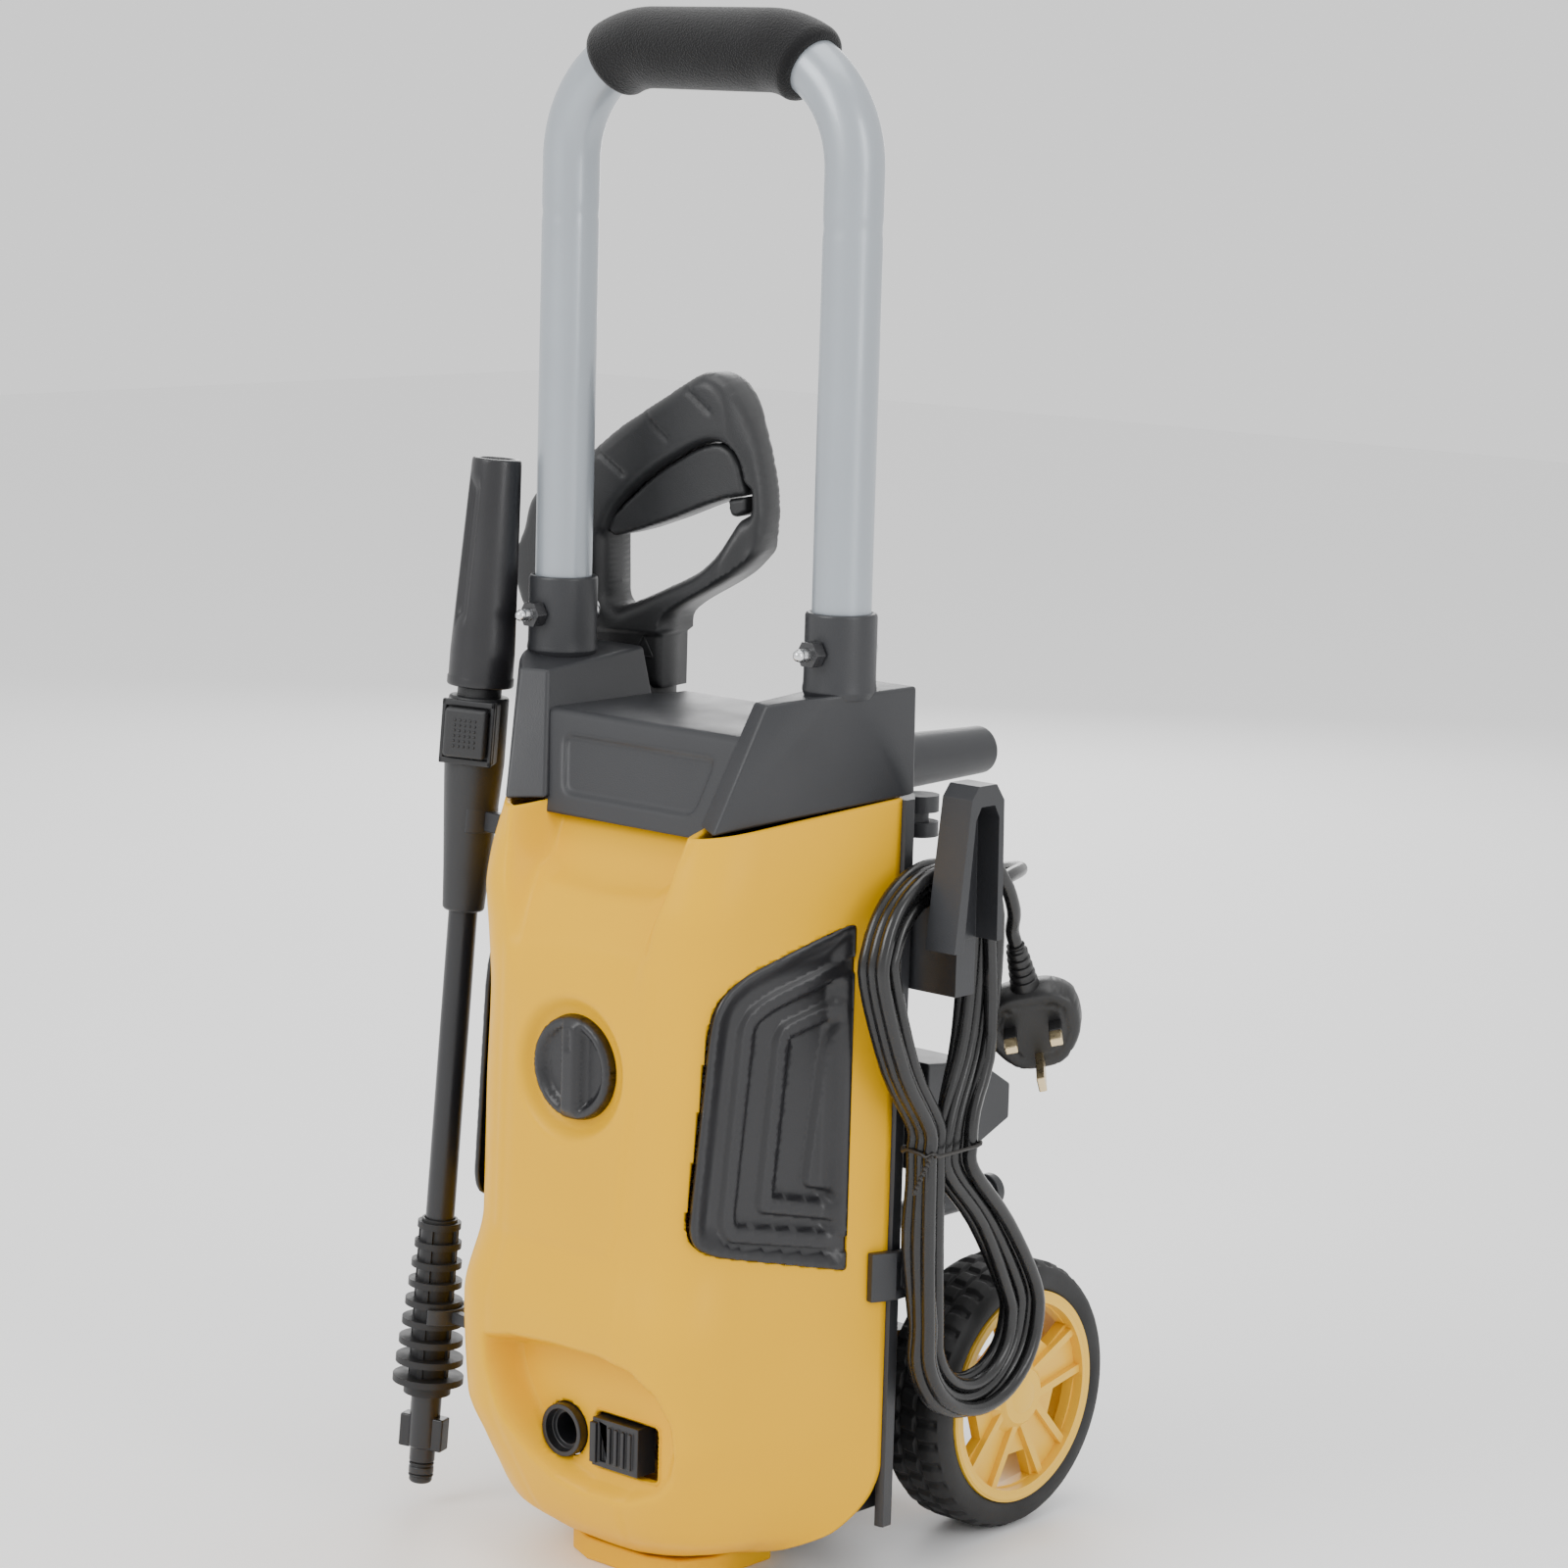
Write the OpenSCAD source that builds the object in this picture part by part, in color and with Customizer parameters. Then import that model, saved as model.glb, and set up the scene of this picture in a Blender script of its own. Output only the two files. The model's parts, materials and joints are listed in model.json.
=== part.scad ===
// Electric pressure washer on a two-wheel trolley frame, with gun, lance and mains lead.
// +X is to the right seen from the front, +Y to the rear, +Z up.
// The origin is on the floor, under the foot, in the plane of the handle tubes.

/* [Handle] */
// Outer diameter of the handle tube
tube_d = 28; // [26:0.5:30]
// Wall of the handle tube
tube_wall = 1.5; // [1:0.1:2.5]
// Distance of each leg from the centre plane
leg_x = 90.5; // [88:0.5:93]
// Height of the top of the handle tube's centre line
handle_top_z = 735; // [700:1:760]
// Bend radius of the handle tube
bend_r = 54; // [48:1:60]
// Outer diameter of the foam grip
foam_d = 39.4; // [36:0.2:44]

/* [Body] */
// Wall of the moulded shells
wall = 3; // [2:0.5:4]
// Half width of the body at the seam between the shells
seam_x = 105; // [103:0.5:106]
// Distance of the seam behind the handle plane
seam_y = 31; // [30:0.5:33]
// Nominal top of the front shell, at its front corner
shell_top = 375; // [372:1:378]
// Rear face of the back shell
back_y = 98; // [96:1:100]

/* [Wheels] */
// Tyre diameter
tyre_d = 137.8; // [134:0.2:140]
// Tyre width
tyre_w = 40; // [36:1:42]
// Axle position behind the handle plane
axle_y = 148.9; // [147:0.1:152]
// Axle diameter
axle_d = 12; // [10:1:14]

/* [Controls] */
// Selector knob diameter
knob_d = 51; // [46:1:56]
// Height of the knob axis
knob_z = 257.5; // [250:0.5:265]
// Travel of the outlet release slider
lock_travel = 6; // [4:1:7]

/* [Lance and gun] */
// Length of the lance
lance_len = 522; // [500:1:530]
// Turn of the gun's plane about the vertical
gun_turn = 12; // [8:1:16]

/* [Mains lead] */
// Outer diameter of the mains cable
cable_d = 7; // [6.5:0.1:8]
// Inner face of the hanging hank
hank_x0 = 112; // [111:1:113]
// Thickness of the hank
hank_w = 18; // [14:1:19]

/* [Hidden] */
$fn = 48;
run_gap = 0.05;     // radial clearance of a running fit
free_gap = 0.3;     // clearance between pieces that pass each other
tube_r = tube_d / 2;
bend_x = leg_x - bend_r;
bend_z = handle_top_z - bend_r;
tube_foot_z = 436;
bolt_z = 460;
axle_r = axle_d / 2;
tyre_r = tyre_d / 2;
wheel_x0 = 60;
rim_r = 54.3;
lance_foot = [-134, -47, 13];
lance_head = [-120, -18, 535];
gun_at = [-101.8, 57.9, 0];
motor_at = [0, 20, 0];
outlet_at = [-8, -70, 76];
side_run = [26, 79] / norm([26, 79]);   // the side wall's direction in plan, front to rear
side_front = [79, -48];                 // where the side wall meets the rounded corner

// ---------- helpers ----------

function smooth(t) = let (c = max(0, min(1, t))) c * c * (3 - 2 * c);
function mix(a, b, t) = a + (b - a) * t;

// Plan stations of the front shell: height, seam point, corner start, corner control,
// corner end, and how far forward the centre of the front is.
stations = [
    [ 12, [50, -6],         [42, -14], [36, -34], [18, -40], -41],
    [ 20, [76, -4],         [64, -16], [54, -48], [26, -54], -55],
    [ 30, [94, 12],         [74, -26], [64, -62], [32, -66], -67],
    [ 49, [103, 28],        [79, -38], [66, -72], [36, -76], -77],
    [ 62, [seam_x, seam_y], [80, -42], [69, -78], [40, -81], -82],
    [ 85, [seam_x, seam_y], [84, -48], [75, -86], [46, -88], -89],
    [134, [seam_x, seam_y], [84, -50], [77, -88], [48, -90], -91],
    [175, [seam_x, seam_y], [79, -48], [70, -80], [44, -82], -83],
    [236, [seam_x, seam_y], [79, -48], [70, -79], [44, -80.5], -81.5],
    [285, [seam_x, seam_y], [78, -48], [69, -78], [43, -79.5], -80],
    [310, [seam_x, seam_y], [80, -47], [71, -78], [46, -79], -77],
    [333, [seam_x, seam_y], [82, -46], [74, -78], [50, -78], -69],
    [350, [seam_x, seam_y], [83, -43], [75, -73], [54, -74], -57],
    [shell_top, [seam_x, seam_y], [82, -34], [73, -63], [58, -66], -42]
];
last_station = len(stations) - 1;
function station_below(z, i = 0) = i >= last_station - 1 || stations[i + 1][0] > z ? i : station_below(z,
    i + 1);
function at_height(z, k) = let (i = station_below(z), a = stations[i], b = stations[i + 1])
    mix(a[k], b[k], (z - a[0]) / (b[0] - a[0]));

// The dished field around the outlet: how deep it is at a point of the front.
recess_floor_y = -70;
recess_low = 47;
recess_high = 125;
function recess_left(z) = -50 + 0.66 * max(0, 96 - z);
function recess_right(z) = 72 - 0.3 * max(0, 80 - z) - 0.55 * max(0, z - 98);
function recess_share(x, z) = smooth((x - recess_left(z)) / 8) * smooth((recess_right(z) - x) / 8)
    * smooth((z - recess_low) / 9) * smooth((recess_high - z) / 8);

// One point of the outer surface: t runs from 0 at the right seam to 1 at the centre of the front.
function corner_point(a, c, b, s) = a * (1 - s) * (1 - s) + c * 2 * s * (1 - s) + b * s * s;
function half_plan(z, t) =
    let (seam = at_height(z, 1), a = at_height(z, 2), c = at_height(z, 3), b = at_height(z, 4),
        front = at_height(z, 5))
    t < 0.25 ? mix(seam, a, t / 0.25)
    : t < 0.5 ? corner_point(a, c, b, (t - 0.25) / 0.25)
    : let (s = (t - 0.5) / 0.5, x = b[0] * (1 - s), w = smooth((x / b[0] - 0.8) / 0.2)) [x, mix(front, b[1], w)];
function plan(z, t) = let (p = half_plan(z, 1 - abs(t)), x = t < 0 ? -p[0] : p[0],
    share = p[1] < recess_floor_y ? recess_share(x, z) : 0) [x, mix(p[1], recess_floor_y, share)];
// The top edge rises towards the rear, and so do the levels just below it.
top_rise = 0.152;
function lift(y, z) = z + (y + 61) * top_rise * smooth((z - 330) / (shell_top - 330));

plan_steps = 44;
levels = [12, 16, 20, 25, 30, 36, 42, 46, 50, 54, 60, 68, 76, 85, 95, 105, 110, 114, 118, 124, 134, 148, 162,
          175, 205, 236, 262, 285, 298, 310, 322, 333, 342, 350, 358, 366, shell_top];
function outer_ring(z) = [for (i = [0:plan_steps]) plan(z, 1 - 2 * i / plan_steps)];
function inward(ring, i) =
    let (a = ring[max(0, i - 1)], b = ring[min(len(ring) - 1, i + 1)], d = (b - a) / norm(b - a)) [d[1], -d[0]];
function inner_ring(ring) = [for (i = [0:len(ring) - 1])
    i == 0 || i == len(ring) - 1 ? ring[i] - [sign(ring[i][0]) * wall, 0] : ring[i] + wall * inward(ring, i)];
function raised(p, z) = [p[0], p[1], lift(p[1], z)];
function shell_ring(z) = let (o = outer_ring(z), n = inner_ring(o))
    [for (p = n) raised(p, z), for (i = [len(o) - 1:-1:0]) raised(o[i], z)];

// A closed solid through a stack of rings that have the same number of points.
module stack(rings) {
    n = len(rings[0]);
    m = len(rings);
    polyhedron(
        points = [for (r = rings) for (p = r) p],
        faces = [
            [for (i = [0:n - 1]) i],
            for (k = [0:m - 2]) for (i = [0:n - 1]) let (a = k * n + i, b = k * n + (i + 1) % n)
                each [[a, a + n, b], [b, a + n, b + n]],
            [for (i = [n - 1:-1:0]) (m - 1) * n + i]
        ],
        convexity = 8);
}

// A tube swept along points, for the free cable.
function ring_at(p, dir, r, sides) =
    let (d = dir / norm(dir), u0 = cross(d, abs(d[2]) < 0.9 ? [0, 0, 1] : [1, 0, 0]), u = u0 / norm(u0),
        v = cross(d, u))
    [for (i = [0:sides - 1]) p + r * (cos(360 * i / sides) * u + sin(360 * i / sides) * v)];
function spline(a, b, c, d, t) =
    0.5 * ((2 * b) + (c - a) * t + (2 * a - 5 * b + 4 * c - d) * t * t + (3 * b - a - 3 * c + d) * t * t * t);
function curve(pts, steps) = [
    for (i = [0:len(pts) - 2]) for (k = [0:steps - 1])
        spline(pts[max(0, i - 1)], pts[i], pts[i + 1], pts[min(len(pts) - 1, i + 2)], k / steps),
    pts[len(pts) - 1]];
module sweep(pts, r, sides = 8) {
    n = len(pts);
    stack([for (i = [0:n - 1]) ring_at(pts[i], pts[min(n - 1, i + 1)] - pts[max(0, i - 1)], r, sides)]);
}

module on_both_sides() { children(); mirror([1, 0, 0]) children(); }
module along_y(p, r, from, to) translate([p[0], from, p[1]]) rotate([-90, 0, 0]) cylinder(r = r, h = to - from);
module along_x(p, r, from, to) translate([from, p[0], p[1]]) rotate([0, 90, 0]) cylinder(r = r, h = to - from);
module upright(p, r, from, to) translate([p[0], p[1], from]) cylinder(r = r, h = to - from);
module block(lo, hi) translate(lo) cube(hi - lo);
// Extrudes an outline drawn in Y and Z along X.
module side_profile(x0, x1) translate([x0, 0, 0]) rotate([90, 0, 90]) linear_extrude(x1 - x0) children();
// Places a shape built along +Z from the lance's foot.
lance_run = lance_head - lance_foot;
module on_lance() translate(lance_foot)
    rotate([-asin(lance_run[1] / norm(lance_run)), atan2(lance_run[0], lance_run[2]), 0]) children();
// Extrudes an outline drawn in the gun's own plane, to each side of it.
module gun_plate(half) translate(gun_at) rotate([0, 0, gun_turn]) translate([0, half, 0])
    rotate([90, 0, 0]) linear_extrude(2 * half) children();
module gun_frame() translate(gun_at) rotate([0, 0, gun_turn]) children();
// Places a shape built on the side wall: x along it to the rear, y up, z outwards.
module on_side() translate([side_front[0], side_front[1], 0])
    multmatrix([[side_run[0], 0, side_run[1], 0], [side_run[1], 0, -side_run[0], 0], [0, 1, 0, 0]]) children();

// ---------- shells ----------

vent_outline = [[-13, 299], [-26, 188], [-21, 179], [59, 161], [59, 330], [21, 317]];
vent_depth = 8;
vent_proud = 2;

module vent_hole() on_side() translate([0, 0, -14]) linear_extrude(28) polygon(vent_outline);

dish_r = 33;
dish_y = -76.5;
lock_size = [30, 24];
lock_x0 = 13;

module front_shell() color("gold") difference() {
    union() {
        stack([for (z = levels) shell_ring(z)]);
        along_y([0, knob_z], dish_r + 2, dish_y - 3, dish_y + wall);
    }
    along_y([0, knob_z], dish_r, -100, dish_y);
    along_y([0, knob_z], 6 + run_gap, -100, -60);
    along_y([outlet_at[0], outlet_at[2]], 13.3, -100, -50);
    block([lock_x0 - 2, -90, outlet_at[2] - lock_size[1] / 2 - 1.5],
          [lock_x0 + lock_size[0] + lock_travel + 3, -60, outlet_at[2] + lock_size[1] / 2 + 1.5]);
    on_both_sides() vent_hole();
}

back_bottom = 30;
back_top = 388;
back_outer = [[seam_x, seam_y + free_gap], [107, 32], [107, 38], [98, 49], [60, 75], [56, back_y]];
back_inner = [[seam_x - wall, seam_y + free_gap], [103.6, 37], [96, 46.4], [57.6, 72.6], [53.3, back_y - wall]];
module mirrored_outline(right) polygon(concat(right, [for (i = [len(right) - 1:-1:0]) [-right[i][0],
    right[i][1]]]));
module back_wall_plan() difference() {
    mirrored_outline(back_outer);
    mirrored_outline(concat([[seam_x - wall, 0]], back_inner));
}
module back_shell() color("#26272a") difference() {
    union() {
        translate([0, 0, back_bottom]) linear_extrude(back_top - back_bottom) back_wall_plan();
        translate([0, 0, back_top - wall]) linear_extrude(wall)
            intersection() { mirrored_outline(back_outer); translate([-120, 33]) square([240, 80]); }
        block([-69, 16, back_bottom], [69, 70, back_bottom + wall]);
        block([-57, 60, back_bottom], [57, back_y - 1, back_bottom + wall]);
        on_both_sides() side_profile(88, 91) polygon([[17, 34], [56, 34], [56, 60], [33, 60], [30, 52]]);
        difference() {
            block([-56, 62, back_top - 1], [56, back_y, 406]);
            block([-53, 65, back_top - 5], [53, back_y - wall, 403]);
        }
    }
    along_y([0, 128], 8.3, back_y - 10, back_y + 5);
    along_y([36, 330], 4, back_y - 10, back_y + 5);
}

// Shoulder corners: bottom at the seam with the shells, top at the handle collars.
cover_gap = 0.3;
function seat_z(y) = shell_top + cover_gap + (y + 61) * top_rise;
shoulder_bottom = [[50.6, -50.4], [67.9, -60.8], [seam_x, seam_y], [107, 38], [56, 38]];
shoulder_top = [[66.9, -33.3, 436], [80.2, -39.7, 436.4], [92, -28, 439.5], [102.5, -13, 441.5], [107, 5, 442],
    [106.5, 37, 442], [70, 37, 442]];
inner_bottom = [[55, -44], [68, -52], [100, 30], [102, 34], [60, 34]];
inner_top = [[70, -29, 431], [80, -34, 431], [101, 33, 436], [73, 33, 436]];
module point_hull(pts) hull() for (p = pts) translate(p) cube(0.02, center = true);
module shoulder() point_hull([for (p = shoulder_bottom) [p[0], p[1], seat_z(p[1])], for (p = shoulder_top) p]);
module shoulder_space() point_hull([for (p = inner_bottom) [p[0], p[1], seat_z(p[1]) - 4],
    for (p = inner_top) p]);
bridge_outline = [[-36, 419], [-49, 371], [-46.3, 371], [-34, 416], [57, 416], [57, 389], [60, 389], [60, 419]];
module top_cover() color("#2b2c30") difference() {
    union() {
        difference() {
            union() {
                on_both_sides() shoulder();
                side_profile(-46, 46) polygon(bridge_outline);
                on_both_sides() side_profile(45, 60)
                    polygon([[-36, 419], [-46, 380], [-38, 380], [-34, 416], [57, 416], [57, 391], [60,
                        391], [60, 419]]);
            }
            on_both_sides() shoulder_space();
        }
        on_both_sides() upright([leg_x, 0], tube_r + 3, tube_foot_z - 2, 478);
    }
    on_both_sides() {
        upright([leg_x, 0], tube_r + run_gap, tube_foot_z, 500);
        along_y([leg_x, bolt_z], 3.1, -30, 30);
    }
}

module vent_panel() on_side() difference() {
    translate([0, 0, -vent_depth]) linear_extrude(vent_depth + vent_proud) offset(delta = -0.4)
        polygon(vent_outline);
    for (k = [0:3]) translate([0, 0, vent_proud - 2 - 1.8 * k]) linear_extrude(20)
        polygon([[-3 + 17 * k, 288 - 8 * k], [-14 + 16 * k, 192 + 6 * k], [55, 174 + 9 * k], [55,
            318 - 14 * k], [22 + 10 * k, 306 - 10 * k]]);
}
module side_vents() color("#1d1e20") on_both_sides() vent_panel();

module base_foot() color("gold") union() {
    linear_extrude(11.7) polygon([[-44, -20], [-36, -36], [-20, -43], [20, -43], [36, -36], [44, -20], [44,
        22], [36, 30],
        [-36, 30], [-44, 22]]);
    block([-16, -30, 11.7], [16, -4, 56]);
}

// ---------- handle ----------

module bend(r, start, sweep_angle) translate([bend_x, 0, bend_z]) rotate([90, 0, 0])
    rotate([0, 0, start]) rotate_extrude(angle = sweep_angle) translate([bend_r, 0]) circle(r);
module handle_path(r, foot) {
    on_both_sides() {
        upright([leg_x, 0], r, foot, bend_z);
        bend(r, 0, 90);
    }
    along_x([0, handle_top_z], r, -bend_x, bend_x);
}
module handle_tube() color("#b9c0c6") difference() {
    handle_path(tube_r, tube_foot_z + 1);
    handle_path(tube_r - tube_wall, tube_foot_z - 5);
    on_both_sides() along_y([leg_x, bolt_z], 3.1, -30, 30);
}
foam_bend = 30;
module foam_section() difference() { circle(foam_d / 2); circle(tube_r + run_gap); }
module foam_grip() color("#1a1a1b") union() {
    translate([-bend_x, 0, handle_top_z]) rotate([0, 90, 0]) linear_extrude(2 * bend_x) foam_section();
    on_both_sides() translate([bend_x, 0, bend_z]) rotate([90, 0, 0]) rotate([0, 0, 90 - foam_bend])
        rotate_extrude(angle = foam_bend) translate([bend_r, 0]) foam_section();
}
module handle_bolts() color("silver") on_both_sides() {
    along_y([leg_x, bolt_z], 3, -29, 18);
    translate([leg_x, -29, bolt_z]) sphere(3);
    along_y([leg_x, bolt_z], 5.5, 17.4, 21.4);
}
module handle_nuts() color("#202123") on_both_sides() difference() {
    translate([leg_x, -24, bolt_z]) rotate([-90, 0, 0]) cylinder(r = 6.6, h = 6.6, $fn = 6);
    along_y([leg_x, bolt_z], 3.02, -30, -10);
}

// ---------- storage fittings ----------

module cable_hook() color("#26272a") union() {
    block([97, 40, 296], [134, 54, 339]);
    difference() {
        side_profile(132, 150) polygon([[18.6, 322], [54, 325], [52, 392], [46, 400], [33, 400], [28, 394]]);
        side_profile(137, 151) polygon([[23, 300], [50.5, 300], [48.5, 384], [45, 390], [35, 390], [31.5,
            384]]);
    }
}
module hose_pegs() color("#26272a") on_both_sides() {
    translate([42, back_y, 391]) rotate([-90, 0, 0]) cylinder(r1 = 14, r2 = 12, h = 69);
    along_y([42, 158], 6.5, back_y, 184);
    along_y([42, 158], 9, 184, 190);
}
tank_outline = [[98.3, 188], [122, 189], [164, 206], [164, 224], [139, 239], [98.3, 244]];
tank_space = [[101, 191], [121, 192], [161, 208], [161, 222], [138, 236], [101, 241]];
module detergent_tank() color("#303236") difference() {
    side_profile(-72, 72) polygon(tank_outline);
    side_profile(-69, 69) polygon(tank_space);
    upright([0, 118], 11, 230, 250);
}
module tank_cap() color("#1d1e20") union() {
    upright([0, 118], 10.8, 236, 244);
    upright([0, 118], 15, 243.5, 253);
}
clip_plan = [[101.9, 20], [105.3, 31], [107.2, 31.8], [107.2, 38.1], [104.2, 42.2], [107, 44], [111, 39],
    [111, 31], [106, 19]];
module side_clips() color("#1d1e20") on_both_sides() difference() {
    translate([0, 0, 145]) linear_extrude(24) polygon(clip_plan);
    block([109.2, 32, 150], [113, 37, 164]);
}

// The rear clip: two small discs on a core, for the coiled hose's end.
clip_at = [84, 70];
module rear_clip() color("#1d1e20") union() {
    upright(clip_at, 4.5, 364, 384);
    upright(clip_at, 9.2, 364, 371);
    upright(clip_at, 9.2, 376, 384);
    translate([0, 0, 366]) linear_extrude(16) polygon([[74.8, 65.2], [83, 59.6], [88, 67.2], [79.8, 72.8]]);
}

// A C-shaped clip around the lance, open away from the body, with an arm to the body.
module lance_clip(s, h, r, arm) {
    on_lance() translate([0, 0, s]) difference() {
        union() {
            cylinder(r = r + 3, h = h);
            translate([0, -5, 0]) cube([arm, 10, h]);
        }
        translate([0, 0, -1]) cylinder(r = r, h = h + 2);
        translate([-r - 10, -0.75 * r, -1]) cube([r + 10, 1.5 * r, h + 2]);
    }
}
module lance_clips() color("#26272a") { lance_clip(335, 16, 14.9, 41); lance_clip(84, 12, 18.7, 49); }

muzzle_at = [10, 0];
module gun_holster() color("#26272a") gun_frame() translate([muzzle_at[0], 0, back_top]) difference() {
    cylinder(r = 21, h = 24);
    translate([0, 0, -1]) cylinder(r = 18, h = 26);
}

// ---------- running gear ----------

module axle_carrier() color("#26272a") difference() {
    union() {
        on_both_sides() side_profile(49, 55) polygon([[98.3, 40], [130, 40], [158, 52], [166, 69], [158,
            86], [140, 98], [98.3, 104]]);
        block([-50, 98.3, 40], [50, 102, 104]);
        block([-50, 102, 90], [50, 138, 94]);
    }
    along_x([axle_y, tyre_r], axle_r + run_gap, -60, 60);
}
module axle() color("silver") along_x([axle_y, tyre_r], axle_r, -95, 95);
module axle_washers() color("silver") on_both_sides() difference() {
    union() {
        along_x([axle_y, tyre_r], 9.5, 55.4, 59.4);
        along_x([axle_y, tyre_r], 8.5, 92.6, 94);
    }
    along_x([axle_y, tyre_r], axle_r + run_gap, 50, 98);
}

spoke_count = 5;
module window_outline() polygon([[31, -9], [46, -15], [47.5, 0], [46, 15], [31, 9]]);
module rim() translate([0, axle_y, tyre_r]) rotate([0, 90, 0]) difference() {
    union() {
        translate([0, 0, wheel_x0 + 1]) cylinder(r = 14, h = 38);
        difference() {
            translate([0, 0, wheel_x0 + 2]) cylinder(r = rim_r, h = 37.8);
            translate([0, 0, wheel_x0 + 1]) cylinder(r = rim_r - 4, h = 27);
            translate([0, 0, wheel_x0 + 34]) cylinder(r = rim_r - 6, h = 10);
        }
        translate([0, 0, wheel_x0 + 30]) cylinder(r1 = 24, r2 = 14, h = 9.5);
        for (k = [0:spoke_count - 1]) rotate([0, 0, 36 + 72 * k]) for (s = [-1, 1])
            translate([8, s * 6 - 2, wheel_x0 + 30]) rotate([0, 0, s * 7]) cube([42, 4, 7.5]);
    }
    for (k = [0:spoke_count - 1]) rotate([0, 0, 72 * k]) translate([0, 0, wheel_x0 - 2]) linear_extrude(60)
        window_outline();
    translate([0, 0, wheel_x0 - 1]) cylinder(r = axle_r + run_gap, h = 36.5);
    translate([0, 0, wheel_x0 + 32]) cylinder(r = 10, h = 3.5);
}
tyre_profile = [[54.4, 62], [57, 60], [63, 60.4], [67, 63], [68.9, 70], [68.9, 90], [67, 97], [63, 99.6],
    [57, 100], [54.4, 98]];
module tyre() translate([0, axle_y, tyre_r]) rotate([0, 90, 0]) rotate_extrude($fn = 64)
    polygon([for (p = tyre_profile) [p[0] * tyre_r / 68.9, p[1]]]);
module rim_right() color("goldenrod") rim();
module rim_left() color("goldenrod") mirror([1, 0, 0]) rim();
module tyre_right() color("#1b1b1c") tyre();
module tyre_left() color("#1b1b1c") mirror([1, 0, 0]) tyre();

// ---------- controls and outlet ----------

knob_face_y = -84;
module selector_knob() color("#151516") difference() {
    union() {
        along_y([0, knob_z], knob_d / 2, knob_face_y + 2, dish_y - free_gap);
        translate([0, knob_face_y, knob_z]) rotate([-90, 0, 0]) cylinder(r1 = knob_d / 2 - 2,
            r2 = knob_d / 2, h = 2);
        along_y([0, knob_z], 6, dish_y - 1, -67);
    }
    for (s = [-1, 1]) intersection() {
        along_y([0, knob_z], knob_d / 2 - 4, knob_face_y - 1, knob_face_y + 5);
        block([s > 0 ? 5 : -40, -90, knob_z - 30], [s > 0 ? 40 : -5, -70, knob_z + 30]);
    }
}
module switch_box() color("#404246") difference() {
    block([-22, -73, 238], [22, -48, 277]);
    block([-19, -66, 241], [19, -45, 274]);
    along_y([0, knob_z], 6.4, -80, -64);
}
module capacitor() color("#d8d8d4") union() { upright([68, 26], 17, 205, 262); upright([68, 26], 5, 262, 270); }
module outlet_socket() color("#121213") difference() {
    union() {
        along_y([outlet_at[0], outlet_at[2]], 13, -75, -48);
        along_y([outlet_at[0], outlet_at[2]], 16, -52, -45.3);
    }
    along_y([outlet_at[0], outlet_at[2]], 10.4, -76, -70);
    along_y([outlet_at[0], outlet_at[2]], 7.6, -71, -50);
}
module outlet_lock() color("#1d1e20") difference() {
    union() {
        block([lock_x0, -75, outlet_at[2] - lock_size[1] / 2], [lock_x0 + lock_size[0], -62,
            outlet_at[2] + lock_size[1] / 2]);
        for (k = [0:3]) block([lock_x0 + 11 + 4.5 * k, -76.5, outlet_at[2] - 9], [lock_x0 + 13 + 4.5 * k,
            -74, outlet_at[2] + 9]);
        block([lock_x0, -77, outlet_at[2] - 10], [lock_x0 + 4, -74, outlet_at[2] + 10]);
    }
    block([lock_x0 + 5, -76, outlet_at[2] - 9], [lock_x0 + 9, -73, outlet_at[2] + 9]);
}
module outlet_pipe() color("#c9a24a") along_y([outlet_at[0], outlet_at[2]], 7, -45, -28.3);
module water_inlet() color("#151516") difference() {
    union() {
        along_y([0, 128], 8, 67.4, 102);
        along_y([0, 128], 16, back_y + free_gap, 102);
        along_y([0, 128], 13.2, 101, 116);
    }
    along_y([0, 128], 5, 75, 120);
}

// ---------- motor and pump ----------

module in_body() translate(motor_at) children();
module ring(r, bore, from, to) difference() {
    translate([0, 0, from]) cylinder(r = r, h = to - from);
    translate([0, 0, from - 1]) cylinder(r = bore, h = to - from + 2);
}
shaft_r = 6;
piston_r = 5;
piston_circle = 22;
module at_piston(k) in_body() rotate([0, 0, 90 + 120 * k]) translate([piston_circle, 0, 0]) children();
module motor_case() color("#8f9398") in_body() ring(46, 43, 166.1, 295.9);
module motor_end_bells() color("#8f9398") in_body() { ring(47, shaft_r + run_gap, 160.1, 166); ring(47,
    shaft_r + run_gap, 296, 302); }
module stator() color("#b36b3c") in_body() ring(42.9, 28, 200, 270);
module rotor() color("#a8abb0") in_body() union() {
    translate([0, 0, 128]) cylinder(r = shaft_r, h = 188);
    translate([0, 0, 198]) cylinder(r = 27.4, h = 74);
}
module cooling_fan() color("#303236") in_body() difference() {
    union() {
        translate([0, 0, 304]) cylinder(r = 12, h = 10);
        translate([0, 0, 304]) cylinder(r = 40, h = 1.5);
        for (k = [0:7]) rotate([0, 0, 45 * k]) translate([10, -1, 304]) cube([29, 2, 10]);
    }
    translate([0, 0, 300]) cylinder(r = shaft_r, h = 20);
}
module wobble_plate() color("#a8abb0") in_body() difference() {
    translate([0, 0, 142]) rotate([8, 0, 0]) translate([0, 0, -4]) cylinder(r = 32, h = 8);
    translate([0, 0, 120]) cylinder(r = shaft_r, h = 40);
}
module motor_cradle() color("#303236") difference() {
    union() {
        block([-34, 40, 176], [34, 94.9, 182]);
        block([-34, 40, 282], [34, 94.9, 288]);
        block([-24, 0, 33.1], [24, 44, 59.9]);
    }
    in_body() translate([0, 0, 100]) cylinder(r = 46.1, h = 250);
}
module pump_housing() color("#9a9da1") in_body() ring(47, 43, 104.1, 160);
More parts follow.
